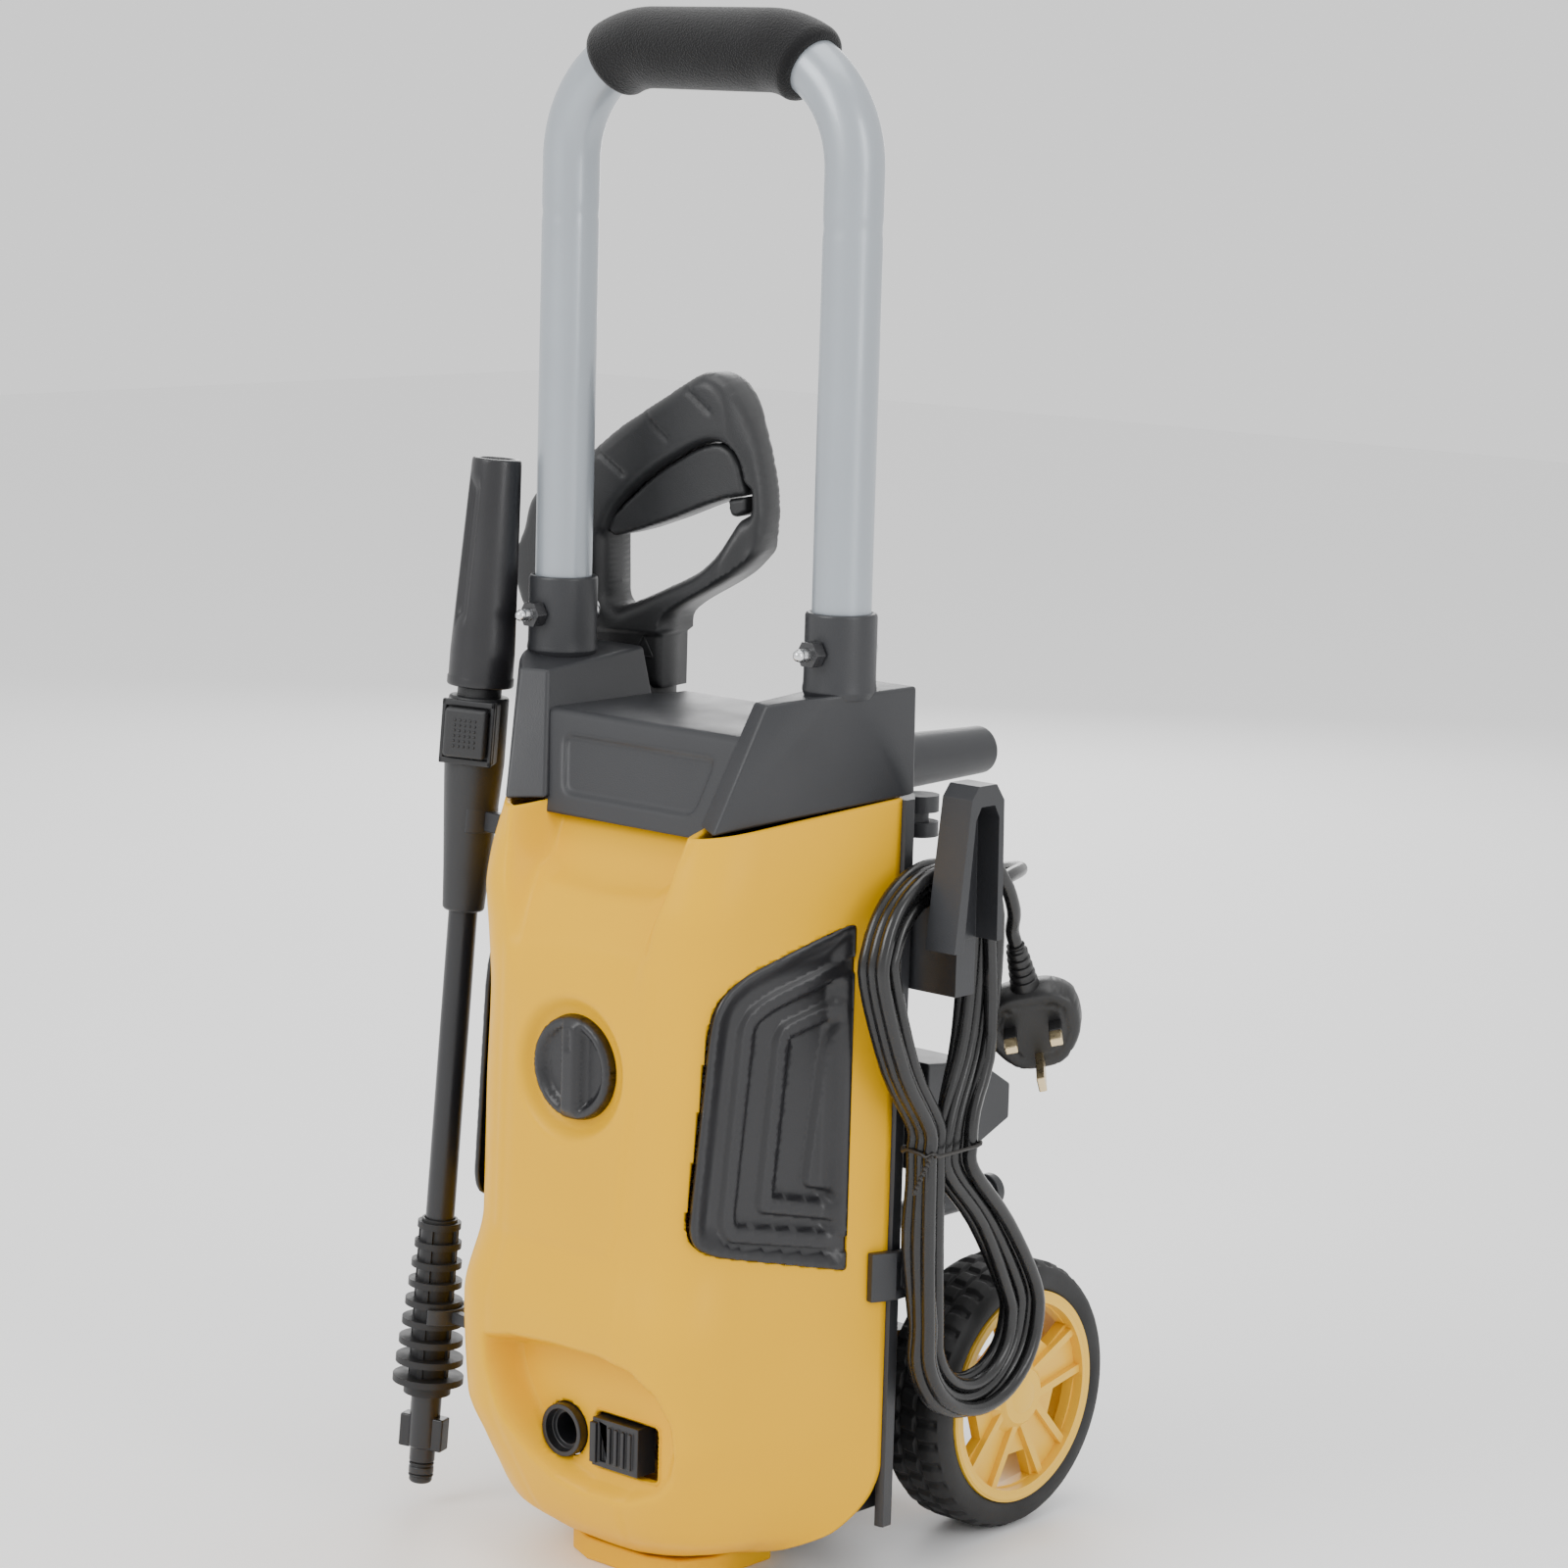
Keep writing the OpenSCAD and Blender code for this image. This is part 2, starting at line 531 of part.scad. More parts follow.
module pump_head() color("#9a9da1") difference() {
    union() {
        in_body() translate([0, 0, 60]) cylinder(r = 44, h = 44);
        along_y([outlet_at[0], outlet_at[2]], 9, -28, 0);
    }
    for (k = [0:2]) at_piston(k) translate([0, 0, 76]) cylinder(r = piston_r + run_gap, h = 40);
}
module piston(k) color("#c8cacc") at_piston(k) union() {
    translate([0, 0, 84]) cylinder(r = piston_r, h = 46);
    translate([0, 0, 126]) cylinder(r = 7, h = 4);
}
module piston_1() piston(0);
module piston_2() piston(1);
module piston_3() piston(2);

// ---------- gun ----------

gun_outline = [[-28, 425], [-28, 449], [-51, 449], [-52, 452], [-59, 468], [-57, 491], [-53, 511], [-18, 535], [-1, 549],
    [21, 563], [32, 570], [42, 577], [49, 579.5], [57, 578.5], [64, 573], [71, 563], [77, 549], [81, 535], [84, 521],
    [85, 506], [82, 493], [73, 483], [58, 473], [30, 455], [28, 440], [28, 425]];
hand_hole = [[-3, 462], [1, 458], [15, 464], [46, 479], [57, 490], [62, 500], [66, 508], [66, 538], [57, 545],
    [48, 544], [28, 534], [-4, 508]];
trigger_slot = [[-15, 494], [-15, 512], [24, 546], [48, 556], [68, 555], [72, 535], [66, 508], [40, 500]];
trigger_outline = [[-12, 499], [-12, 506], [-5, 509], [27, 532], [48, 541], [56, 542], [61.8, 537], [61.8,
    518], [28, 506], [8, 498]];
trigger_pin = [-8, 503];
lock_lug = [[54, 514], [63.6, 510.4], [65.4, 508], [61.4, 499.9], [57, 500.5], [53, 507]];
lock_tail = [[62.5, 504], [64.4, 530], [69.4, 531], [65.4, 508.5], [63.4, 504]];
module gun_pin(p, r, half) gun_plate(half) translate(p) circle(r);
module gun_shell() color("#222326") difference() {
    union() {
        difference() {
            gun_plate(17) polygon(gun_outline);
            gun_plate(20) polygon(hand_hole);
            gun_plate(8) polygon(trigger_slot);
        }
        gun_pin(trigger_pin, 2.5, 16);
        gun_frame() translate([muzzle_at[0], 0, 390]) cylinder(r = 17.4, h = 40);
    }
    gun_frame() translate([muzzle_at[0], 0, 380]) cylinder(r = 8, h = 40);
}
module gun_trigger() color("#1a1b1d") difference() {
    gun_plate(7.5) polygon(trigger_outline);
    gun_pin(trigger_pin, 2.5 + run_gap, 20);
}
module gun_lock() color("#151516") union() {
    gun_plate(7) polygon(lock_lug);
    gun_plate(3.5) polygon(lock_tail);
}
module gun_inlet() color("#c9a24a") gun_frame() translate([-40, 0, 0]) union() {
    translate([0, 0, 426]) cylinder(r = 8.2, h = 18);
    translate([0, 0, 443]) cylinder(r = 10.5, h = 6, $fn = 6);
}

// ---------- lance ----------

module turned(pts) rotate_extrude() polygon(pts);
module lance_shaft() color("#1a1b1d") on_lance() union() {
    turned([[0, 0], [5.5, 0], [6.5, 1], [6.5, 18], [7.8, 19], [7.8, 51], [7.3, 51], [7.3, 296], [0, 296]]);
    for (s = [0, 180]) rotate([0, 0, s + 20]) translate([6, -4.5, 18]) cube([6, 9, 17]);
}
bumper_rings = 9;
module lance_bumper() color("#151516") on_lance() difference() {
    union() {
        translate([0, 0, 47]) cylinder(r = 12, h = 5);
        translate([0, 0, 51]) cylinder(r1 = 9.6, r2 = 9, h = 87);
        for (k = [0:bumper_rings - 1]) translate([0, 0, 53 + 10 * k])
            cylinder(r = 18 - 7 * k / (bumper_rings - 1), h = 3.4);
        for (s = [0, 90]) rotate([0, 0, s + 20]) translate([-10.5, -1.5, 53]) cube([21, 3, 83]);
    }
    translate([0, 0, 40]) cylinder(r = 7.8 + run_gap, h = 110);
}
module lance_grip() color("#222326") on_lance() difference() {
    union() {
        turned([[7.4, 296], [10.5, 296], [15, 370], [15, 404], [11, 404], [11, 408.5], [0, 408.5], [0,
            296.3], [7.4, 296.3]]);
        rotate([0, 0, -62]) translate([-4, -13.5, 371]) cube([21, 27, 32]);
    }
    rotate([0, 0, -62]) translate([12, -11.3, 374.3]) cube([6, 22.6, 25.4]);
}
module lance_button() color("#1a1b1d") on_lance() rotate([0, 0, -62]) translate([14.5, -11, 374.6])
    cube([7, 22, 24.8]);
module nozzle_head() color("#1d1e20") on_lance() difference() {
    turned([[0, 409], [16, 409], [16.6, 412], [16.2, 424], [12.3, lance_len - 1],
            [11.5, lance_len], [0, lance_len]]);
    translate([0, 0, 500]) cylinder(r = 8, h = 30);
    translate([0, 0, 480]) cylinder(r = 4.02, h = 30);
}
module nozzle_insert() color("#c9a24a") on_lance() ring(4, 1, 484, 506);

// ---------- mains lead ----------

cable_r = cable_d / 2;
feed_route = [[36, 130, 330], [37, 142, 330], [44, 155, 331], [58, 159, 333], [74, 153, 336], [90, 141, 340],
    [104, 124, 343], [112, 104, 343], [115.5, 86, 338], [116, 76, 330]];
lead_route = [[126, 70, 352], [126, 84, 346], [124, 95, 330], [119.5, 104, 310]];
module cord_gland() color("#151516") union() {
    along_y([36, 330], 10, back_y + free_gap, 102);
    translate([36, 102, 330]) rotate([-90, 0, 0]) cylinder(r1 = 7.5, r2 = 4.6, h = 28);
}
module cord_feed() color("#0f0f10") sweep(curve(feed_route, 2), cable_r);
module plug_lead() color("#0f0f10") sweep(curve(lead_route, 2), cable_r);
module hank_outline() difference() {
    union() {
        hull() { translate([40, 312]) circle(48); translate([50, 222]) circle(19); }
        hull() { translate([50, 218]) circle(19); translate([80, 125]) circle(46); }
    }
    hull() { translate([46, 314]) circle(27); translate([49, 252]) circle(4); }
    hull() { translate([80, 127]) circle(24); translate([60, 186]) circle(4); }
}
module cord_hank() color("#0f0f10") side_profile(hank_x0, hank_x0 + hank_w) hank_outline();
module cord_tie() color("#303236") difference() {
    block([hank_x0 - 1.5, 27.5, 218.5], [hank_x0 + hank_w + 1.5, 74.6, 221.5]);
    block([hank_x0 - 0.2, 28.7, 217], [hank_x0 + hank_w + 0.2, 73.4, 223]);
}
// The plug hangs with its pins towards the front right, tipped forwards.
plug_at = [118, 121.5, 269];
module on_plug() translate(plug_at) rotate([0, 0, 41]) rotate([20, 0, 0]) rotate([0, -14, 0]) children();
plug_outline = [[-13, 22], [13, 22], [24.5, 14], [24.5, -6], [12, -23], [-12, -23], [-24.5, -6], [-24.5, 14]];
module plug_body() color("#131314") on_plug() union() {
    translate([0, 12, 0]) rotate([90, 0, 0]) linear_extrude(20) polygon(plug_outline);
    translate([0, 2, 21]) cylinder(r1 = 6.8, r2 = 4.6, h = 24);
}
module pin_block(x, z, w, h, reach) translate([x - w / 2, -8 - reach, z - h / 2]) cube([w, reach, h]);
module plug_pins() color("#c9a86a") on_plug() {
    pin_block(-11.1, 3, 6.3, 4, 17.7);
    pin_block(11.1, 3, 6.3, 4, 17.7);
    pin_block(0, -16.5, 4, 8, 22.7);
}

front_shell();
back_shell();
top_cover();
side_vents();
base_foot();
handle_tube();
foam_grip();
handle_bolts();
handle_nuts();
cable_hook();
hose_pegs();
detergent_tank();
tank_cap();
side_clips();
rear_clip();
lance_clips();
gun_holster();
axle_carrier();
axle();
axle_washers();
rim_right();
tyre_right();
rim_left();
tyre_left();
selector_knob();
switch_box();
capacitor();
outlet_socket();
outlet_lock();
outlet_pipe();
water_inlet();
motor_case();
motor_end_bells();
motor_cradle();
stator();
rotor();
cooling_fan();
wobble_plate();
pump_housing();
pump_head();
piston_1();
piston_2();
piston_3();
gun_shell();
gun_inlet();
gun_trigger();
gun_lock();
lance_shaft();
lance_bumper();
lance_grip();
lance_button();
nozzle_head();
nozzle_insert();
cord_gland();
cord_feed();
cord_hank();
cord_tie();
plug_lead();
plug_body();
plug_pins();
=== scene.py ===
"""Looks of an upright pressure washer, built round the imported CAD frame."""
import json
import math
import random

import bmesh
import bpy
from mathutils import Matrix, Vector
from mathutils.geometry import delaunay_2d_cdt


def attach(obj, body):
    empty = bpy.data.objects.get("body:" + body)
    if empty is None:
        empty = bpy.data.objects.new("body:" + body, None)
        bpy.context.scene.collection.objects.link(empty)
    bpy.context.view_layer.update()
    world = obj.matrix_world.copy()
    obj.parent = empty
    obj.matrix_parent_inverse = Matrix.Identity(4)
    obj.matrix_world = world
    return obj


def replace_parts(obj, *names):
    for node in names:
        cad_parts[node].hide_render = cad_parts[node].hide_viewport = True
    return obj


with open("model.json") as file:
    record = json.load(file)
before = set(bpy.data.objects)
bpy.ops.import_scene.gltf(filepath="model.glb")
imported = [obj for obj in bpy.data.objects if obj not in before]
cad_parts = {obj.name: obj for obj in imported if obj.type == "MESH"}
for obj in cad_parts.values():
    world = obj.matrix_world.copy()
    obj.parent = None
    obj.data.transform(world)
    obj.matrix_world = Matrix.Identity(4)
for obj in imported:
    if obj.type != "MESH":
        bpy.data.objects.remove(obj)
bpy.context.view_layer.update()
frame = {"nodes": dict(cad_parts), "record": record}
NODES = frame["nodes"]
MM = 0.001
random.seed(7)

# ---------- driving values, in millimetres, as in the CAD ----------

TUBE_R, FOAM_R, LEG_X, BEND_R, TOP_Z = 14.0, 19.7, 90.5, 54.0, 735.0
KNOB_Z, KNOB_R = 257.5, 25.5
OUTLET_X, OUTLET_Z, RECESS_Y = -8.0, 76.0, -70.0
SEAM = (105.0, 31.0)
AXLE_Y, TYRE_R = 148.9, 68.9
CABLE_R = 3.5
HANK_X0, HANK_X1 = 112.0, 130.0
LANCE_FOOT, LANCE_HEAD = Vector((-134, -47, 13)), Vector((-120, -18, 535))
GUN_AT, GUN_TURN = Vector((-101.8, 57.9, 0)), math.radians(12)
PLUG_AT = Vector((118, 121.5, 269))

# A box's six faces, for corners listed round the near end and then round the far one.
BOX_FACES = [(3, 2, 1, 0), (4, 5, 6, 7), (0, 1, 5, 4), (1, 2, 6, 5), (2, 3, 7, 6), (3, 0, 4, 7)]


def smooth(t):
    t = max(0.0, min(1.0, t))
    return t * t * (3 - 2 * t)


def mix(a, b, t):
    return a + (b - a) * t


# ---------- camera and light ----------

def look_through():
    """The photograph's view: a long lens from the front right, a little above."""
    turn, pitch, roll = math.radians(41.315), math.radians(9.398), 0.0281
    ahead = Vector((-math.sin(turn) * math.cos(pitch), math.cos(turn) * math.cos(pitch), -math.sin(pitch)))
    side = Vector((math.cos(turn), math.sin(turn), 0))
    up = side.cross(ahead)
    right = side * math.cos(roll) + up * math.sin(roll)
    up = right.cross(ahead)
    data = bpy.data.cameras.new("camera")
    data.lens = 97.94
    data.sensor_width = 36
    camera = bpy.data.objects.new("camera", data)
    camera.matrix_world = Matrix.Translation((1.3728, -1.4960, 0.7225)) @ Matrix(
        (right, up, -ahead)).transposed().to_4x4()
    bpy.context.scene.collection.objects.link(camera)
    bpy.context.scene.camera = camera


def area_light(name, at, target, size, watts, colour=(1, 1, 1)):
    data = bpy.data.lights.new(name, "AREA")
    data.shape, data.size, data.size_y = "RECTANGLE", size[0], size[1]
    data.energy, data.color = watts, colour
    light = bpy.data.objects.new(name, data)
    light.location = at
    light.rotation_euler = (Vector(target) - Vector(at)).to_track_quat("-Z", "Y").to_euler()
    bpy.context.scene.collection.objects.link(light)


def studio():
    world = bpy.data.worlds.new("studio")
    bpy.context.scene.world = world
    world.use_nodes = True
    world.node_tree.nodes["Background"].inputs["Color"].default_value = (1, 1, 1, 1)
    world.node_tree.nodes["Background"].inputs["Strength"].default_value = 1.15
    aim = (0, 0, 0.35)
    area_light("key", (-0.6, -2.4, 1.9), aim, (1.4, 1.4), 40)
    area_light("side", (2.6, -0.3, 1.3), aim, (0.7, 1.9), 22)
    area_light("top", (0.1, 0.2, 2.6), aim, (1.6, 1.6), 20)
    area_light("rear", (-1.6, 2.0, 1.2), aim, (1.0, 1.6), 18)


# ---------- materials ----------

class Shader:
    """A Principled surface with its procedural detail."""

    def __init__(self, name, colour, rough, metal=0.0, coat=0.0, specular=0.5):
        self.material = bpy.data.materials.new(name)
        self.material.use_nodes = True
        self.tree = self.material.node_tree
        self.shader = self.tree.nodes["Principled BSDF"]
        self.colour = colour
        self.set("Base Color", (*colour, 1))
        self.set("Roughness", rough)
        self.set("Metallic", metal)
        self.set("Coat Weight", coat)
        self.set("Specular IOR Level", specular)
        self.coords = self.tree.nodes.new("ShaderNodeTexCoord").outputs["Object"]
        self.normal = None

    def set(self, socket, value):
        self.shader.inputs[socket].default_value = value

    def noise(self, scale, detail=3.0, stretch=(1, 1, 1)):
        mapping = self.tree.nodes.new("ShaderNodeMapping")
        mapping.inputs["Scale"].default_value = stretch
        self.tree.links.new(self.coords, mapping.inputs["Vector"])
        node = self.tree.nodes.new("ShaderNodeTexNoise")
        node.inputs["Scale"].default_value = scale
        node.inputs["Detail"].default_value = detail
        self.tree.links.new(mapping.outputs["Vector"], node.inputs["Vector"])
        return node.outputs["Fac"]

    def cells(self, scale, feature="F1"):
        node = self.tree.nodes.new("ShaderNodeTexVoronoi")
        node.feature = feature
        node.inputs["Scale"].default_value = scale
        self.tree.links.new(self.coords, node.inputs["Vector"])
        return node.outputs["Distance"]

    def remap(self, value, low, high, start=0.3, stop=0.7):
        node = self.tree.nodes.new("ShaderNodeMapRange")
        for socket, number in zip(("From Min", "From Max", "To Min", "To Max"), (start, stop, low, high)):
            node.inputs[socket].default_value = number
        self.tree.links.new(value, node.inputs["Value"])
        return node.outputs["Result"]

    def vary_colour(self, value, darker=0.85, lighter=1.08):
        ramp = self.tree.nodes.new("ShaderNodeValToRGB")
        ramp.color_ramp.elements[0].position = 0.3
        ramp.color_ramp.elements[1].position = 0.7
        ramp.color_ramp.elements[0].color = (*(c * darker for c in self.colour), 1)
        ramp.color_ramp.elements[1].color = (*(min(1, c * lighter) for c in self.colour), 1)
        self.tree.links.new(value, ramp.inputs["Fac"])
        self.tree.links.new(ramp.outputs["Color"], self.shader.inputs["Base Color"])

    def vary_rough(self, value, low, high):
        self.tree.links.new(self.remap(value, low, high), self.shader.inputs["Roughness"])

    def bump(self, value, strength, height):
        node = self.tree.nodes.new("ShaderNodeBump")
        node.inputs["Strength"].default_value = strength
        node.inputs["Distance"].default_value = height
        self.tree.links.new(value, node.inputs["Height"])
        if self.normal:
            self.tree.links.new(self.normal, node.inputs["Normal"])
        self.normal = node.outputs["Normal"]
        self.tree.links.new(self.normal, self.shader.inputs["Normal"])


def moulded(name, colour, rough, grain=0.12, grain_scale=900, wave=0.0, coat=0.0):
    """Moulded plastic: fine spark-eroded grain, faint flow marks and uneven gloss."""
    s = Shader(name, colour, rough, coat=coat)
    s.vary_colour(s.noise(9, 4), 0.93, 1.05)
    s.vary_rough(s.noise(26, 4), rough - 0.06, rough + 0.08)
    if wave:
        s.bump(s.noise(14, 2), wave, 0.004)
    s.bump(s.noise(grain_scale, 2), grain, 0.0004)
    return s.material


def make_materials():
    m = {}
    yellow = Shader("yellow_shell", (0.80, 0.42, 0.0), 0.42, specular=0.15)
    yellow.vary_colour(yellow.noise(6, 3), 0.97, 1.03)
    yellow.vary_rough(yellow.noise(40, 4), 0.33, 0.45)
    yellow.set("Subsurface Weight", 0.0)
    yellow.set("Subsurface Radius", (0.006, 0.003, 0.0008))
    yellow.set("Subsurface Scale", 1.0)
    yellow.bump(yellow.noise(1500, 2), 0.06, 0.0003)
    m["yellow_shell"] = yellow.material
    m["black_shell"] = moulded("black_shell", (0.021, 0.022, 0.025), 0.42, 0.22, 1500)
    m["black_trim"] = moulded("black_trim", (0.013, 0.013, 0.015), 0.34, 0.15, 1500)
    m["gun_plastic"] = moulded("gun_plastic", (0.017, 0.0175, 0.019), 0.44, 0.3, 1700)
    m["plug_shell"] = moulded("plug_shell", (0.012, 0.012, 0.0125), 0.38, 0.18, 1200)
    m["wheel_rim"] = moulded("wheel_rim", (0.80, 0.47, 0.028), 0.42, 0.1, 900)
    m["capacitor_case"] = moulded("capacitor_case", (0.7, 0.7, 0.66), 0.4)
    m["tie_wire"] = moulded("tie_wire", (0.02, 0.018, 0.016), 0.45)

    tube = Shader("grey_tube", (0.36, 0.395, 0.43), 0.34, metal=0.35, coat=0.25)
    tube.vary_colour(tube.noise(60, 4, (1, 1, 0.06)), 0.95, 1.04)
    tube.vary_rough(tube.noise(35, 3), 0.29, 0.40)
    tube.bump(tube.noise(2200, 2), 0.10, 0.0002)
    m["grey_tube"] = tube.material

    foam = Shader("grip_foam", (0.006, 0.006, 0.0065), 0.85, specular=0.12)
    foam.vary_colour(foam.noise(60, 5), 0.8, 1.25)
    foam.bump(foam.noise(38, 2), 0.12, 0.001)
    foam.bump(foam.cells(1100), 0.55, 0.0005)
    foam.set("Sheen Weight", 0.25)
    m["grip_foam"] = foam.material

    steel = Shader("zinc_steel", (0.70, 0.71, 0.72), 0.26, metal=1.0)
    steel.vary_rough(steel.noise(300, 4), 0.18, 0.36)
    steel.bump(steel.noise(700, 3), 0.08, 0.0002)
    m["zinc_steel"] = steel.material
    nut = Shader("black_nut", (0.02, 0.02, 0.022), 0.3, coat=0.4)
    nut.vary_rough(nut.noise(500, 3), 0.24, 0.4)
    m["black_nut"] = nut.material
    for name, colour, rough in (("pump_metal", (0.55, 0.56, 0.57), 0.45),
                                ("rotor_steel", (0.5, 0.5, 0.51), 0.3),
                                ("copper_winding", (0.6, 0.26, 0.12), 0.35),
                                ("brass_fitting", (0.74, 0.60, 0.36), 0.28)):
        s = Shader(name, colour, rough, metal=1.0)
        s.vary_rough(s.noise(240, 4), rough - 0.06, rough + 0.12)
        s.bump(s.noise(420, 4), 0.12, 0.0003)
        m[name] = s.material

    tyre = Shader("wheel_tyre", (0.016, 0.016, 0.0165), 0.62, specular=0.35)
    tyre.vary_colour(tyre.noise(45, 5), 0.8, 1.5)
    tyre.bump(tyre.noise(700, 3), 0.2, 0.0004)
    m["wheel_tyre"] = tyre.material
    rubber = Shader("bumper_rubber", (0.013, 0.013, 0.014), 0.5, specular=0.4)
    rubber.vary_rough(rubber.noise(90, 3), 0.42, 0.6)
    rubber.bump(rubber.noise(900, 3), 0.18, 0.0003)
    m["bumper_rubber"] = rubber.material

    cable = Shader("cable_sheath", (0.008, 0.008, 0.0085), 0.24, specular=0.55)
    cable.vary_rough(cable.noise(130, 3), 0.18, 0.34)
    cable.bump(cable.noise(320, 3), 0.10, 0.0003)
    m["cable_sheath"] = cable.material

    floor = Shader("pale_floor", (0.93, 0.93, 0.93), 0.6)
    floor.vary_rough(floor.noise(3, 3), 0.55, 0.7)
    m["floor"] = floor.material
    return m


MATERIALS = make_materials()
SLOT_OF = {part["node"]: part["material_slot"] for part in frame["record"]["subparts"]}
BODY_OF = {node: body for body, nodes in frame["record"]["behaviour"]["bodies"].items() for node in nodes}


# ---------- mesh helpers ----------

def add_object(name, verts, faces, slot, smooth_shading=True):
    mesh = bpy.data.meshes.new(name)
    mesh.from_pydata([[c * MM for c in v] for v in verts], [], faces)
    mesh.validate()
    obj = bpy.data.objects.new(name, mesh)
    bpy.context.scene.collection.objects.link(obj)
    mesh.materials.append(MATERIALS[slot])
    if smooth_shading:
        mesh.shade_smooth()
    return obj


def put(obj, body, slot, *nodes):
    """A finished piece rides on its body and may stand for CAD nodes; the slot argument is not used."""
    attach(obj, body)
    if nodes:
        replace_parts(obj, *nodes)
    return obj


def modifier(obj, kind, **settings):
    m = obj.modifiers.new(kind.lower(), kind)
    for key, value in settings.items():
        setattr(m, key, value)
    return m


def rounded(obj, width, segments=3, angle=32):
    modifier(obj, "BEVEL", width=width * MM, segments=segments, limit_method="ANGLE",
             angle_limit=math.radians(angle), harden_normals=False)
    modifier(obj, "WEIGHTED_NORMAL", keep_sharp=False, weight=60)
    return obj


def softened(node, width, segments=3, angle=32):
    """Stands for a CAD node with the same shape, its flat faces whole and its edges rounded."""
    source = NODES[node].data
    bm = bmesh.new()
    bm.from_mesh(source)
    bmesh.ops.remove_doubles(bm, verts=bm.verts, dist=0.00002)
    bmesh.ops.dissolve_limit(bm, angle_limit=math.radians(1.2), verts=bm.verts, edges=bm.edges)
    mesh = bpy.data.meshes.new(node + "_looks")
    bm.to_mesh(mesh)
    bm.free()
    mesh.materials.append(MATERIALS[SLOT_OF[node]])
    mesh.shade_smooth()
    obj = bpy.data.objects.new(node + "_looks", mesh)
    bpy.context.scene.collection.objects.link(obj)
    rounded(obj, width, segments, angle)
    return put(obj, BODY_OF[node], SLOT_OF[node], node)


def grid(name, rows, slot, closed=False, thickness=0.0, outward=1.0):
    """A surface through rows of points, which all have the same count."""
    n = len(rows[0])
    span = n if closed else n - 1
    faces = [(k * n + i, k * n + (i + 1) % n, (k + 1) * n + (i + 1) % n, (k + 1) * n + i)
             for k in range(len(rows) - 1) for i in range(span)]
    obj = add_object(name, [p for row in rows for p in row], faces, slot)
    if thickness:
        modifier(obj, "SOLIDIFY", thickness=thickness * MM, offset=-outward, use_even_offset=True)
    return obj


def frame_along(points):
    """A turning-free frame at each point of a path."""
    frames = []
    side = None
    for i, p in enumerate(points):
        ahead = (points[min(len(points) - 1, i + 1)] - points[max(0, i - 1)]).normalized()
        if side is None:
            side = ahead.orthogonal().normalized()
        side = (side - ahead * side.dot(ahead)).normalized()
        frames.append((p, side, ahead.cross(side)))
    return frames


def tube(name, points, radii, slot, sides=32, ends=True):
    """A round tube or turned body along points, with its own radius at each."""
    verts, faces = [], []
    for (p, u, v), r in zip(frame_along([Vector(p) for p in points]), radii):
        verts += [p + r * (math.cos(math.tau * i / sides) * u + math.sin(math.tau * i / sides) * v)
                  for i in range(sides)]
    for k in range(len(points) - 1):
        faces += [(k * sides + i, k * sides + (i + 1) % sides, (k + 1) * sides + (i + 1) % sides,
                   (k + 1) * sides + i)
                  for i in range(sides)]
    if ends:
        faces += [tuple(range(sides))[::-1], tuple(range((len(points) - 1) * sides, len(points) * sides))]
    return add_object(name, verts, faces, slot)


def evaluated(obj):
    """The object's mesh with its modifiers applied."""
    bpy.context.view_layer.update()
    mesh = bpy.data.meshes.new_from_object(obj.evaluated_get(bpy.context.evaluated_depsgraph_get()))
    obj.modifiers.clear()
    obj.data = mesh
    return obj


def turned(name, profile, origin, axis, slot, sides=64):
    """A lathe shape: profile is a closed list of (radius, place along the axis)."""
    axis = Vector(axis).normalized()
    u = axis.orthogonal().normalized()
    v = axis.cross(u)
    origin = Vector(origin)
    rows = [[origin + axis * s + r * (math.cos(math.tau * i / sides) * u + math.sin(math.tau * i / sides) * v)
             for i in range(sides)] for r, s in profile + profile[:1]]
    obj = grid(name, rows, slot, closed=True)
    modifier(obj, "WELD", merge_threshold=0.00001)
    evaluated(obj)
    bm = bmesh.new()
    bm.from_mesh(obj.data)
    bmesh.ops.recalc_face_normals(bm, faces=bm.faces)
    bm.to_mesh(obj.data)
    bm.free()
    return obj


def arc(cx, cy, r, start, stop, steps=6):
    return [(cx + r * math.cos(math.radians(mix(start, stop, i / steps))),
             cy + r * math.sin(math.radians(mix(start, stop, i / steps)))) for i in range(steps + 1)]


def fillet(corners, radius, steps=5):
    """An outline with each corner rounded; radius is one number or one per corner."""
    points = []
    count = len(corners)
    for i, corner in enumerate(corners):
        r = radius[i] if isinstance(radius, (list, tuple)) else radius
        here = Vector(corner)
        a, b = Vector(corners[i - 1]) - here, Vector(corners[(i + 1) % count]) - here
        cut = min(r, a.length * 0.49, b.length * 0.49)
        start, stop = here + a.normalized() * cut, here + b.normalized() * cut
        for k in range(steps + 1):
            t = k / steps
            points.append(start * (1 - t) ** 2 + here * 2 * t * (1 - t) + stop * t * t)
    return points


def inside(p, outline):
    hit = False
    for i, a in enumerate(outline):
        b = outline[i - 1]
        if (a[1] > p[1]) != (b[1] > p[1]) and p[0] < (b[0] - a[0]) * (p[1] - a[1]) / (b[1] - a[1]) + a[0]:
            hit = not hit
    return hit


def edge_distance(p, outline):
    best = 1e9
    for i, b in enumerate(outline):
        a = outline[i - 1]
        dx, dy = b[0] - a[0], b[1] - a[1]
        t = max(0, min(1, ((p[0] - a[0]) * dx + (p[1] - a[1]) * dy) / max(1e-9, dx * dx + dy * dy)))
        best = min(best, math.hypot(p[0] - a[0] - t * dx, p[1] - a[1] - t * dy))
    return best


